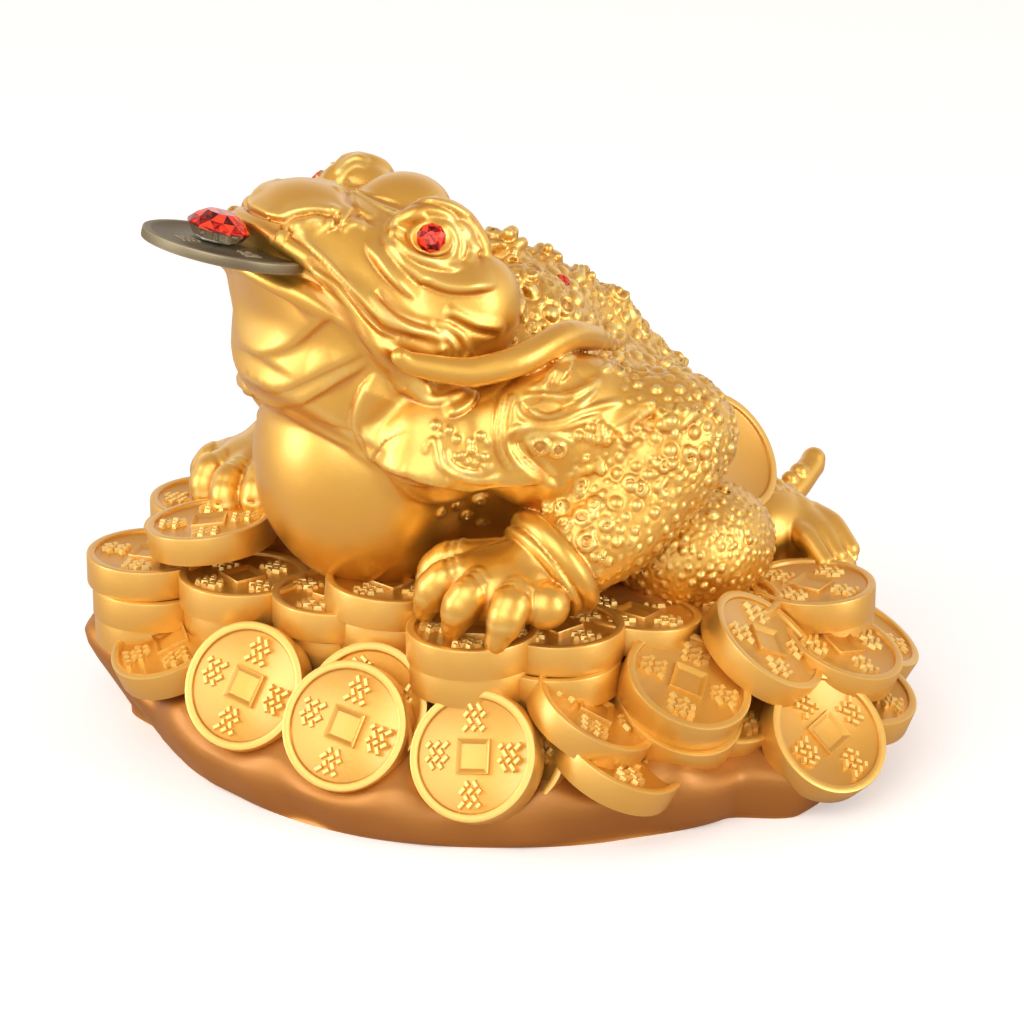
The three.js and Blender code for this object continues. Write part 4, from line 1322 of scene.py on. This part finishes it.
@dataclass
class MouthCoin:
    """The loose coin of dark metal in the toad's mouth."""

    place: Matrix
    radius: float = 13.5
    thickness: float = 1.8
    rim: float = 1.2
    dip: float = 0.25
    hole: float = 5.0
    steps: int = 96
    strokes: tuple[Point, ...] = ((3.2, 0, 8.6), (1.3, -0.95, 7.6), (1.3, 0.95, 7.6), (2.6, 0, 6.6), (1.1, -0.8, 5.6),
                                  (1.1, 0.8, 5.6))

    def build(self) -> bpy.types.Object:
        """Spin the coin, punch its hole and raise the strokes on both faces.

        Returns:
            The coin.
        """
        r, half, low = self.radius, self.thickness / 2, self.thickness / 2 - self.dip
        inner = r - self.rim
        above = [(r, half - 0.4), (r - 0.08, half - 0.1), (r - 0.35, half), (inner + 0.2, half),
                 (inner, half - 0.06), (inner - 0.35, low)]
        shape = lathe([(out, -height) for out, height in reversed(above)] + above, self.steps)
        for height in (-low, low):
            ring = [e for e in shape.edges if e.is_boundary and all(abs(v.co.z - height) < 1e-4 for v in e.verts)]
            turn = Matrix.Translation((0, 0, height)) @ Matrix.Rotation(math.pi / 4, 4, "Z")
            square = bmesh.ops.create_circle(shape, cap_ends=False, radius=self.hole / math.sqrt(2), segments=4,
                                             matrix=turn)
            inside = [e for e in shape.edges if all(v in square["verts"] for v in e.verts)]
            bmesh.ops.subdivide_edges(shape, edges=inside, cuts=self.steps // 4 - 1)
            inside = [e for e in shape.edges if e.is_wire and all(abs(v.co.z - height) < 1e-4 for v in e.verts)]
            bmesh.ops.bridge_loops(shape, edges=ring + inside)
        bmesh.ops.bridge_loops(shape, edges=[e for e in shape.edges if e.is_boundary])
        bmesh.ops.recalc_face_normals(shape, faces=shape.faces[:])
        for side in (1, -1):
            for quarter in range(4):
                turn = Matrix.Rotation(math.radians(90 * quarter), 4, "Z")
                for length, aside, out in self.strokes:
                    bar = block((length, 0.5, 0.34))
                    soften(bar, 0.1, 1)
                    poured(shape, bar, turn @ Matrix.Translation((aside, out, side * low)))
        settle(shape, self.place)
        return object_of(shape, "mouth_coin_dressed", 40)


@dataclass
class Stone:
    """A faceted stone with a flat silvered back."""

    name: str
    place: Matrix
    radius: float
    depth: float
    narrowing: float = 1.0
    sides: int = 10

    def build(self) -> bpy.types.Object:
        """Cut the table, the star facets and the girdle.

        Returns:
            The stone.
        """
        shape = bmesh.new()
        for radius, height, turn in ((0.8, -0.35, 0.5), (1.0, 0.0, 0.5), (1.0, 0.1, 0.5), (0.8, 0.36, 0.0),
                                     (0.46, 0.62, 0.5)):
            spin = Matrix.Rotation(math.tau * turn / self.sides, 4, "Z")
            bmesh.ops.create_circle(shape, cap_ends=False, radius=radius * self.radius, segments=self.sides,
                                    matrix=Matrix.Translation((0, 0, height * self.depth)) @ spin)
        bmesh.ops.convex_hull(shape, input=shape.verts[:])
        bmesh.ops.transform(shape, matrix=Matrix.Diagonal((1, self.narrowing, 1, 1)), verts=shape.verts[:])
        bmesh.ops.recalc_face_normals(shape, faces=shape.faces[:])
        settle(shape, self.place)
        made = object_of(shape, self.name, 1)
        middle = self.place.translation
        out = self.place.to_3x3() @ Vector((0, 0, 1))
        chance = random.Random(self.name)
        # Back facets get 0, for the silvered back; the others a random value that their material turns into painted
        # shade and painted glints.
        layer = made.data.attributes.new("facet", "FLOAT", "FACE")
        for face, value in zip(made.data.polygons, layer.data):
            behind = (face.center - middle).dot(out) < -0.02 * self.depth * MM
            value.value = 0.0 if behind else chance.uniform(0.2, 1.0)
        return made


@dataclass
class Glue:
    """The bead of hardened glue under the mouth coin's stone."""

    place: Matrix
    radius: float = 3.2
    height: float = 1.2
    lumps: int = 9

    def build(self) -> bpy.types.Object:
        """Swell a flat bead into soft lumps.

        Returns:
            The bead.
        """
        shape = bmesh.new()
        bmesh.ops.create_uvsphere(shape, u_segments=48, v_segments=24, radius=1.0)
        for vert in shape.verts:
            turn = math.atan2(vert.co.y, vert.co.x)
            flat = math.hypot(vert.co.x, vert.co.y)
            swell = 1 + 0.06 * flat * math.sin(self.lumps * turn) + 0.05 * flat * math.sin(5 * turn + 1)
            vert.co = Vector((vert.co.x * self.radius * swell, vert.co.y * self.radius * swell,
                              (vert.co.z + 1) * self.height / 2))
        settle(shape, self.place)
        return object_of(shape, "glue_bead", 60)


# Finishes.

Tree = bpy.types.NodeTree
Colour = tuple[float, float, float]


def node_of(tree: Tree, kind: str, **values: object) -> bpy.types.Node:
    """Add a node and set its sockets and properties.

    Args:
        tree: The node tree.
        kind: The node's type.
        values: Sockets under their own names, and properties in lower case.

    Returns:
        The node.
    """
    node = tree.nodes.new(kind)
    for name, value in values.items():
        if name in node.inputs:
            node.inputs[name].default_value = value
        else:
            setattr(node, name, value)
    return node


def sum_of(tree: Tree, operation: str, factor: float) -> bpy.types.Node:
    """Add a node of arithmetic with its second value set."""
    node = node_of(tree, "ShaderNodeMath", operation=operation)
    node.inputs[1].default_value = factor
    return node


def ramp_of(tree: Tree, *stops: tuple[float, Colour]) -> bpy.types.Node:
    """Add a colour ramp of two or three stops, each a place and a colour, in order."""
    node = node_of(tree, "ShaderNodeValToRGB")
    elements = node.color_ramp.elements
    for element, (place, colour) in zip(elements, (stops[0], stops[-1])):
        element.position, element.color = place, (*colour, 1)
    for place, colour in stops[1:-1]:
        elements.new(place).color = (*colour, 1)
    return node


def wire(tree: Tree, *links: tuple) -> None:
    """Link sockets, each link given as a node, its output, the next node and its input."""
    for source, output, target, socket in links:
        tree.links.new(source.outputs[output], target.inputs[socket])


def paint(name: str, sockets: dict[str, object]) -> tuple[bpy.types.Material, Tree, bpy.types.Node]:
    """Return a new material, its node tree and its shader, with the shader's own sockets set."""
    material = bpy.data.materials.new(name)
    material.use_nodes = True
    shader = material.node_tree.nodes["Principled BSDF"]
    for socket, value in sockets.items():
        shader.inputs[socket].default_value = value
    return material, material.node_tree, shader


def marks_group() -> Tree:
    """Build the group that breaks up a cast or struck surface and masks its painted shade and highlights.

    Returns:
        The node group. From how far a place stands out, it gives a mask of crests and hollows with an uneven
        edge, which the finishes paint as shade in hollows and highlights on crests, and it gives clouds and fine
        grain.
    """
    tree = bpy.data.node_groups.new("painted_shade_and_marks", "ShaderNodeTree")
    for name, value in (("Relief", 0.5), ("Grain Scale", 900.0), ("Cloud Scale", 60.0)):
        tree.interface.new_socket(name, in_out="INPUT", socket_type="NodeSocketFloat").default_value = value
    for name in ("Crest", "Cloud", "Grain"):
        tree.interface.new_socket(name, in_out="OUTPUT", socket_type="NodeSocketFloat")
    start, end = tree.nodes.new("NodeGroupInput"), tree.nodes.new("NodeGroupOutput")
    place = node_of(tree, "ShaderNodeTexCoord")
    grain = node_of(tree, "ShaderNodeTexNoise", Detail=3.0, Roughness=0.6)
    cloud = node_of(tree, "ShaderNodeTexNoise", Detail=2.0, Roughness=0.5)
    unevenness = 0.16
    uneven = sum_of(tree, "MULTIPLY_ADD", unevenness)
    shifted = sum_of(tree, "SUBTRACT", unevenness / 2)
    wire(tree, (place, "Object", grain, "Vector"), (place, "Object", cloud, "Vector"),
         (start, "Grain Scale", grain, "Scale"), (start, "Cloud Scale", cloud, "Scale"), (cloud, "Fac", uneven, 0),
         (start, "Relief", uneven, 2), (uneven, "Value", shifted, 0), (shifted, "Value", end, "Crest"),
         (cloud, "Fac", end, "Cloud"), (grain, "Fac", end, "Grain"))
    return tree


@dataclass(frozen=True)
class Metal:
    """A metallic finish with fine grain, with painted shade darkening its hollows and painted highlights brightening
    its crests.
    """

    name: str
    # The colours of hollows, plains and crests: the darker hollow colour is painted shade, the brighter edge colour a
    # painted highlight.
    hollow: Colour
    face: Colour
    edge: Colour
    roughness: tuple[float, float]
    metallic: float
    grain: float
    grain_height: float
    coat: float = 0.0

    def build(self, marks: Tree) -> bpy.types.Material:
        """Make the material.

        Args:
            marks: The group of marks and shade masks that the finishes share.

        Returns:
            The material.
        """
        material, tree, shader = paint(self.name, {"Metallic": self.metallic, "Coat Weight": self.coat,
                                                   "Coat Roughness": 0.28, "Coat IOR": 1.8})
        group = node_of(tree, "ShaderNodeGroup", node_tree=marks)
        group.inputs["Grain Scale"].default_value = self.grain
        relief = node_of(tree, "ShaderNodeAttribute", attribute_name="relief")
        # Painted shade and highlights: the colour darkens in hollows and brightens on crests, from how far the skin
        # stands out.
        shade_and_highlight_ramp = ramp_of(tree, (0, self.hollow), (0.5, self.face), (1, self.edge))
        rough = node_of(tree, "ShaderNodeMapRange", **{"From Min": 0.3, "From Max": 0.7, "To Min": self.roughness[0],
                                                       "To Max": self.roughness[1]})
        bump = node_of(tree, "ShaderNodeBump", Strength=1.0, Distance=self.grain_height)
        wire(tree, (relief, "Fac", group, "Relief"), (group, "Crest", shade_and_highlight_ramp, "Fac"),
             (shade_and_highlight_ramp, "Color", shader, "Base Color"), (group, "Cloud", rough, "Value"),
             (rough, "Result", shader, "Roughness"), (group, "Grain", bump, "Height"),
             (bump, "Normal", shader, "Normal"))
        return material


@dataclass(frozen=True)
class Gem:
    """A clear coloured stone, whose facets carry painted shade and painted glints at random, and whose back is
    silvered.
    """

    name: str
    colour: Colour
    facet_shade: Colour
    facet_glint: Colour
    silver: Colour = (0.8, 0.79, 0.77)
    cells: float = 1500.0

    def build(self) -> bpy.types.Material:
        """Make the material.

        Returns:
            The material.
        """
        material, tree, shader = paint(self.name, {"Roughness": 0.05, "IOR": 1.5, "Specular IOR Level": 0.35})
        facet = node_of(tree, "ShaderNodeAttribute", attribute_name="facet")
        place = node_of(tree, "ShaderNodeTexCoord")
        cells = node_of(tree, "ShaderNodeTexVoronoi", Scale=self.cells)
        # Each facet's random value, with finer random cells, picks a tone from painted shade through the stone's
        # colour to a painted glint.
        depth = sum_of(tree, "MULTIPLY_ADD", 0.45)
        shade_and_highlight_ramp = ramp_of(tree, (0.45, self.facet_shade), (0.75, self.colour), (1.15 / 1.2, self.facet_glint))
        foil = sum_of(tree, "LESS_THAN", 0.1)
        silvered = node_of(tree, "ShaderNodeMix", data_type="RGBA")
        silvered.inputs["B"].default_value = (*self.silver, 1)
        wire(tree, (place, "Object", cells, "Vector"), (cells, "Color", depth, 0), (facet, "Fac", depth, 2),
             (depth, "Value", shade_and_highlight_ramp, "Fac"), (facet, "Fac", foil, 0), (foil, "Value", silvered, "Factor"),
             (shade_and_highlight_ramp, "Color", silvered, "A"), (silvered, "Result", shader, "Base Color"),
             (foil, "Value", shader, "Metallic"))
        return material


# Studio.


@dataclass(frozen=True)
class Lamp:
    """A soft rectangular light, hung at an angle from the camera and turned to the figure."""

    name: str
    azimuth: float
    elevation: float
    distance: float
    size: tuple[float, float]
    power: float
    colour: Colour = (1, 1, 1)


@dataclass
class Studio:
    """The floor, the lights and the camera."""

    eye: Eye
    shift: Vector
    floor_size: float = 6.0
    sensor: float = 36.0
    picture: int = 1024
    surround: float = 1.02
    aim: Point = (0, 0, 0.05)
    lamps: tuple[Lamp, ...] = (
        Lamp("front", -25, 38, 1.0, (0.85, 0.85), 4.3),
        Lamp("left", -80, 16, 0.9, (0.35, 0.7), 3.0, (1, 0.98, 0.95)),
        Lamp("right", 62, 16, 0.9, (0.35, 0.7), 3.0, (1, 0.98, 0.95)),
    )

    def floor(self) -> None:
        """Lay a wide pale floor, a little brighter to the camera than to the figure."""
        shape = bmesh.new()
        bmesh.ops.create_grid(shape, x_segments=2, y_segments=2, size=self.floor_size)
        made = object_of(shape, "studio_floor")
        material, tree, shader = paint("floor_paint", {"Emission Color": (1, 1, 1, 1), "Roughness": 0.7})
        path = node_of(tree, "ShaderNodeLightPath")
        seen = ramp_of(tree, (0, (0.6, 0.52, 0.46)), (1, (0.85, 0.89, 0.92)))
        glow = sum_of(tree, "MULTIPLY", 0.3)
        wire(tree, (path, "Is Camera Ray", seen, "Fac"), (path, "Is Camera Ray", glow, 0),
             (seen, "Color", shader, "Base Color"), (glow, "Value", shader, "Emission Strength"))
        made.data.materials.append(material)

    def hang(self, lamp: Lamp) -> None:
        """Hang one lamp."""
        light = bpy.data.lights.new(lamp.name, "AREA")
        light.shape = "RECTANGLE"
        light.size, light.size_y = lamp.size
        light.energy, light.color = lamp.power, lamp.colour
        turn, tilt = math.radians(self.eye.azimuth + lamp.azimuth), math.radians(lamp.elevation)
        way = Vector((math.sin(turn) * math.cos(tilt), -math.cos(turn) * math.cos(tilt), math.sin(tilt)))
        holder = linked(lamp.name, light)
        holder.location = lamp.distance * way
        holder.rotation_euler = (Vector(self.aim) - lamp.distance * way).to_track_quat("-Z", "Y").to_euler()

    def lights(self) -> None:
        """Hang the lamps and set a pale surround, warmer overhead."""
        for lamp in self.lamps:
            self.hang(lamp)
        world = bpy.data.worlds.new("studio")
        bpy.context.scene.world = world
        world.use_nodes = True
        tree = world.node_tree
        place = node_of(tree, "ShaderNodeTexCoord")
        split = node_of(tree, "ShaderNodeSeparateXYZ")
        sky = ramp_of(tree, (0.15, (1, 0.98, 0.95)), (0.75, (0.6, 0.47, 0.4)))
        backdrop = tree.nodes["Background"]
        wire(tree, (place, "Generated", split, "Vector"), (split, "Z", sky, "Fac"), (sky, "Color", backdrop, "Color"))
        backdrop.inputs["Strength"].default_value = self.surround

    def camera(self) -> None:
        """Set the camera at the photograph's angle."""
        lens = bpy.data.cameras.new("camera")
        lens.sensor_fit = "HORIZONTAL"
        lens.sensor_width = self.sensor
        lens.lens = self.sensor * self.eye.distance / self.eye.scale / self.picture
        lens.clip_start, lens.clip_end = 0.05, 20
        place = (Vector(self.eye.place()) + Vector((0, 0, self.eye.seat))) * MM + self.shift
        turn = Matrix([Vector(axis) for axis in self.eye.axes()]).transposed().to_4x4()
        holder = linked("camera", lens)
        holder.matrix_world = Matrix.Translation(place) @ turn
        bpy.context.scene.camera = holder


# Assembly.


def dress(piece: bpy.types.Object, material: bpy.types.Material, slot: str, *nodes: str) -> None:
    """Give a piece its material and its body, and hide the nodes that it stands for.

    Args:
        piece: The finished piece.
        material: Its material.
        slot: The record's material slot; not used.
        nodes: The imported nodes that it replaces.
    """
    piece.data.materials.clear()
    piece.data.materials.append(material)
    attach(piece, "root")
    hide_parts(*nodes)
    piece.data.calc_loop_triangles()
    log.info("%s: %d triangles", piece.name, len(piece.data.loop_triangles))


@dataclass
class LoosePieces:
    """The coin in the mouth with its bead and its stone, and the stones set in the casting.

    The places are millimetres in the toad's own frame. Each set stone has its name, its node, its place, the
    direction that it faces, its radius and its depth.
    """

    shift: Vector
    seat: float
    coin_spot: Point = (0, -50.7, 62.6)
    coin_pitch: float = -15.0
    stone_ahead: float = 2.1
    bead_rise: float = 1.2
    stone_rise: float = 3.52
    set_stones: tuple[tuple[str, str, Point, Point, float, float], ...] = (
        ("eye_stone_left", "eye_jewel_left", (17.6, -23.2, 64), (0.8, -0.52, 0.3), 2.4, 1.6),
        ("eye_stone_right", "eye_jewel_right", (-17.6, -23.2, 64), (-0.8, -0.52, 0.3), 2.4, 1.6),
        ("back_stone", "back_jewel", (8, 8.3, 48.7), (0.5, 0.3, 0.8), 1.3, 1.0),
    )

    def at(self, spot: Point) -> Matrix:
        """Return the move to a place on the toad, in metres."""
        return Matrix.Translation(self.shift + (Vector((0, 0, self.seat)) + Vector(spot)) * MM)

    def mouthful(self, pewter: bpy.types.Material, glue: bpy.types.Material, ruby: bpy.types.Material) -> None:
        """Build and dress the coin, its bead of glue and its stone."""
        coin = self.at(self.coin_spot) @ Matrix.Rotation(math.radians(self.coin_pitch), 4, "X")
        ahead = Matrix.Translation((0, -self.stone_ahead * MM, 0)) @ coin
        bead, stone = (ahead @ Matrix.Translation((0, 0, rise * MM)) for rise in (self.bead_rise, self.stone_rise))
        dress(MouthCoin(coin).build(), pewter, "coin_metal", "mouth_coin")
        dress(Glue(bead).build(), glue, "clear_glue", "jewel_glue")
        dress(Stone("mouth_stone", stone, 6.0, 4.2, 0.78, 12).build(), ruby, "red_stone", "mouth_coin_jewel")

    def stones(self, ruby: bpy.types.Material) -> None:
        """Build and dress the stones of the eyes and of the back."""
        for name, node, spot, facing, radius, depth in self.set_stones:
            stone = Stone(name, self.at(spot) @ standing(facing), radius, depth)
            dress(stone.build(), ruby, "red_stone", node)


def shift_of_frame() -> Vector:
    """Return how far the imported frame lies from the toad's own middle, in metres."""
    left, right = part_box("eye_jewel_left"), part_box("eye_jewel_right")
    across = (left[0].x + left[1].x + right[0].x + right[1].x) / 4
    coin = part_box("mouth_coin")
    return Vector((across, (coin[0].y + coin[1].y) / 2 - LoosePieces.coin_spot[1] * MM, 0))


def toad_pieces(eye: Eye, shift: Vector) -> list[bpy.types.Object]:
    """Sculpt the toad and cut its mesh into slices.

    Args:
        eye: The photograph's camera.
        shift: How far the frame lies from the toad's middle.

    Returns:
        The slices, from the front to the back.
    """
    clay = Clay(BLOCK_LOW, BLOCK_HIGH, PITCH, eye)
    Toad(clay).sculpt()
    points, quads = mesh_of(clay)
    slopes = slopes_of(clay, points, quads)
    relief = relief_of(clay, points, slopes)
    points = (points + np.array([0, 0, eye.seat])) * MM + np.array(shift)
    middles = points[quads, 1].mean(1)
    count = max(1, math.ceil(2 * len(quads) / SLICE_TRIANGLES))
    bounds = np.quantile(middles, np.linspace(0, 1, count + 1))
    bounds[-1] += 1
    pieces = []
    for index in range(count):
        chosen = quads[(middles >= bounds[index]) & (middles < bounds[index + 1])]
        used, faces = np.unique(chosen, return_inverse=True)
        faces = faces.reshape(-1, 4)
        pieces.append(mesh_object(f"toad_{index + 1}", points[used], faces, slopes[used], relief[used]))
    return pieces


def main() -> None:
    """Build and dress every piece, then set the studio."""
    logging.basicConfig(level=logging.INFO, format="%(message)s")
    eye = Eye()
    shift = shift_of_frame()
    marks = marks_group()
    # Each metal paints shade into the hollows and highlights onto the crests, from the relief of its pieces.
    gold = Metal("satin_gold_lacquer", (0.68, 0.31, 0.025), (0.83, 0.47, 0.05), (0.93, 0.67, 0.18), (0.34, 0.44), 0.88,
                 1400.0, 0.00003, 0.8).build(marks)
    # A lit copy of the gold lacquer for the coins: more diffuse, with less coat, so that their recessed faces look
    # less shaded.
    struck = Metal("coin_lit_gold_lacquer", (0.62, 0.27, 0.03), (0.8, 0.44, 0.06), (0.95, 0.68, 0.2), (0.4, 0.52), 0.8,
                   1200.0, 0.00004, 0.6).build(marks)
    # A darker, browner copy of the gold lacquer for the base: painted shade for the skirt, which faces down into
    # shadow.
    shaded = Metal("base_shaded_gold_lacquer", (0.32, 0.12, 0.02), (0.5, 0.215, 0.045), (0.72, 0.38, 0.1), (0.44, 0.58), 0.9,
                   1100.0, 0.00004, 0.2).build(marks)
    pewter = Metal("dark_coin_metal", (0.05, 0.04, 0.024), (0.2, 0.165, 0.1), (0.5, 0.44, 0.3),
                   (0.36, 0.6), 0.9, 1200.0, 0.00005).build(marks)
    glue = Metal("hardened_glue", (0.5, 0.47, 0.42), (0.75, 0.72, 0.68), (0.85, 0.83, 0.8), (0.12, 0.25), 0.3,
                 500.0, 0.00003).build(marks)
    ruby = Gem("red_faceted_glass", (0.42, 0.006, 0.005), (0.04, 0.0, 0.002), (0.9, 0.06, 0.02)).build()
    for piece in toad_pieces(eye, shift):
        dress(piece, gold, "gold_casting", "casting")
    for piece in Coins(shift).build():
        dress(piece, struck, "gold_casting", "casting")
    dress(Base(shift).build(), shaded, "gold_casting", "casting")
    loose = LoosePieces(shift, eye.seat)
    loose.mouthful(pewter, glue, ruby)
    loose.stones(ruby)
    bpy.context.scene.view_settings.view_transform = "Standard"
    studio = Studio(eye, shift)
    studio.floor()
    studio.lights()
    studio.camera()


if __name__ == "__main__":
    main()
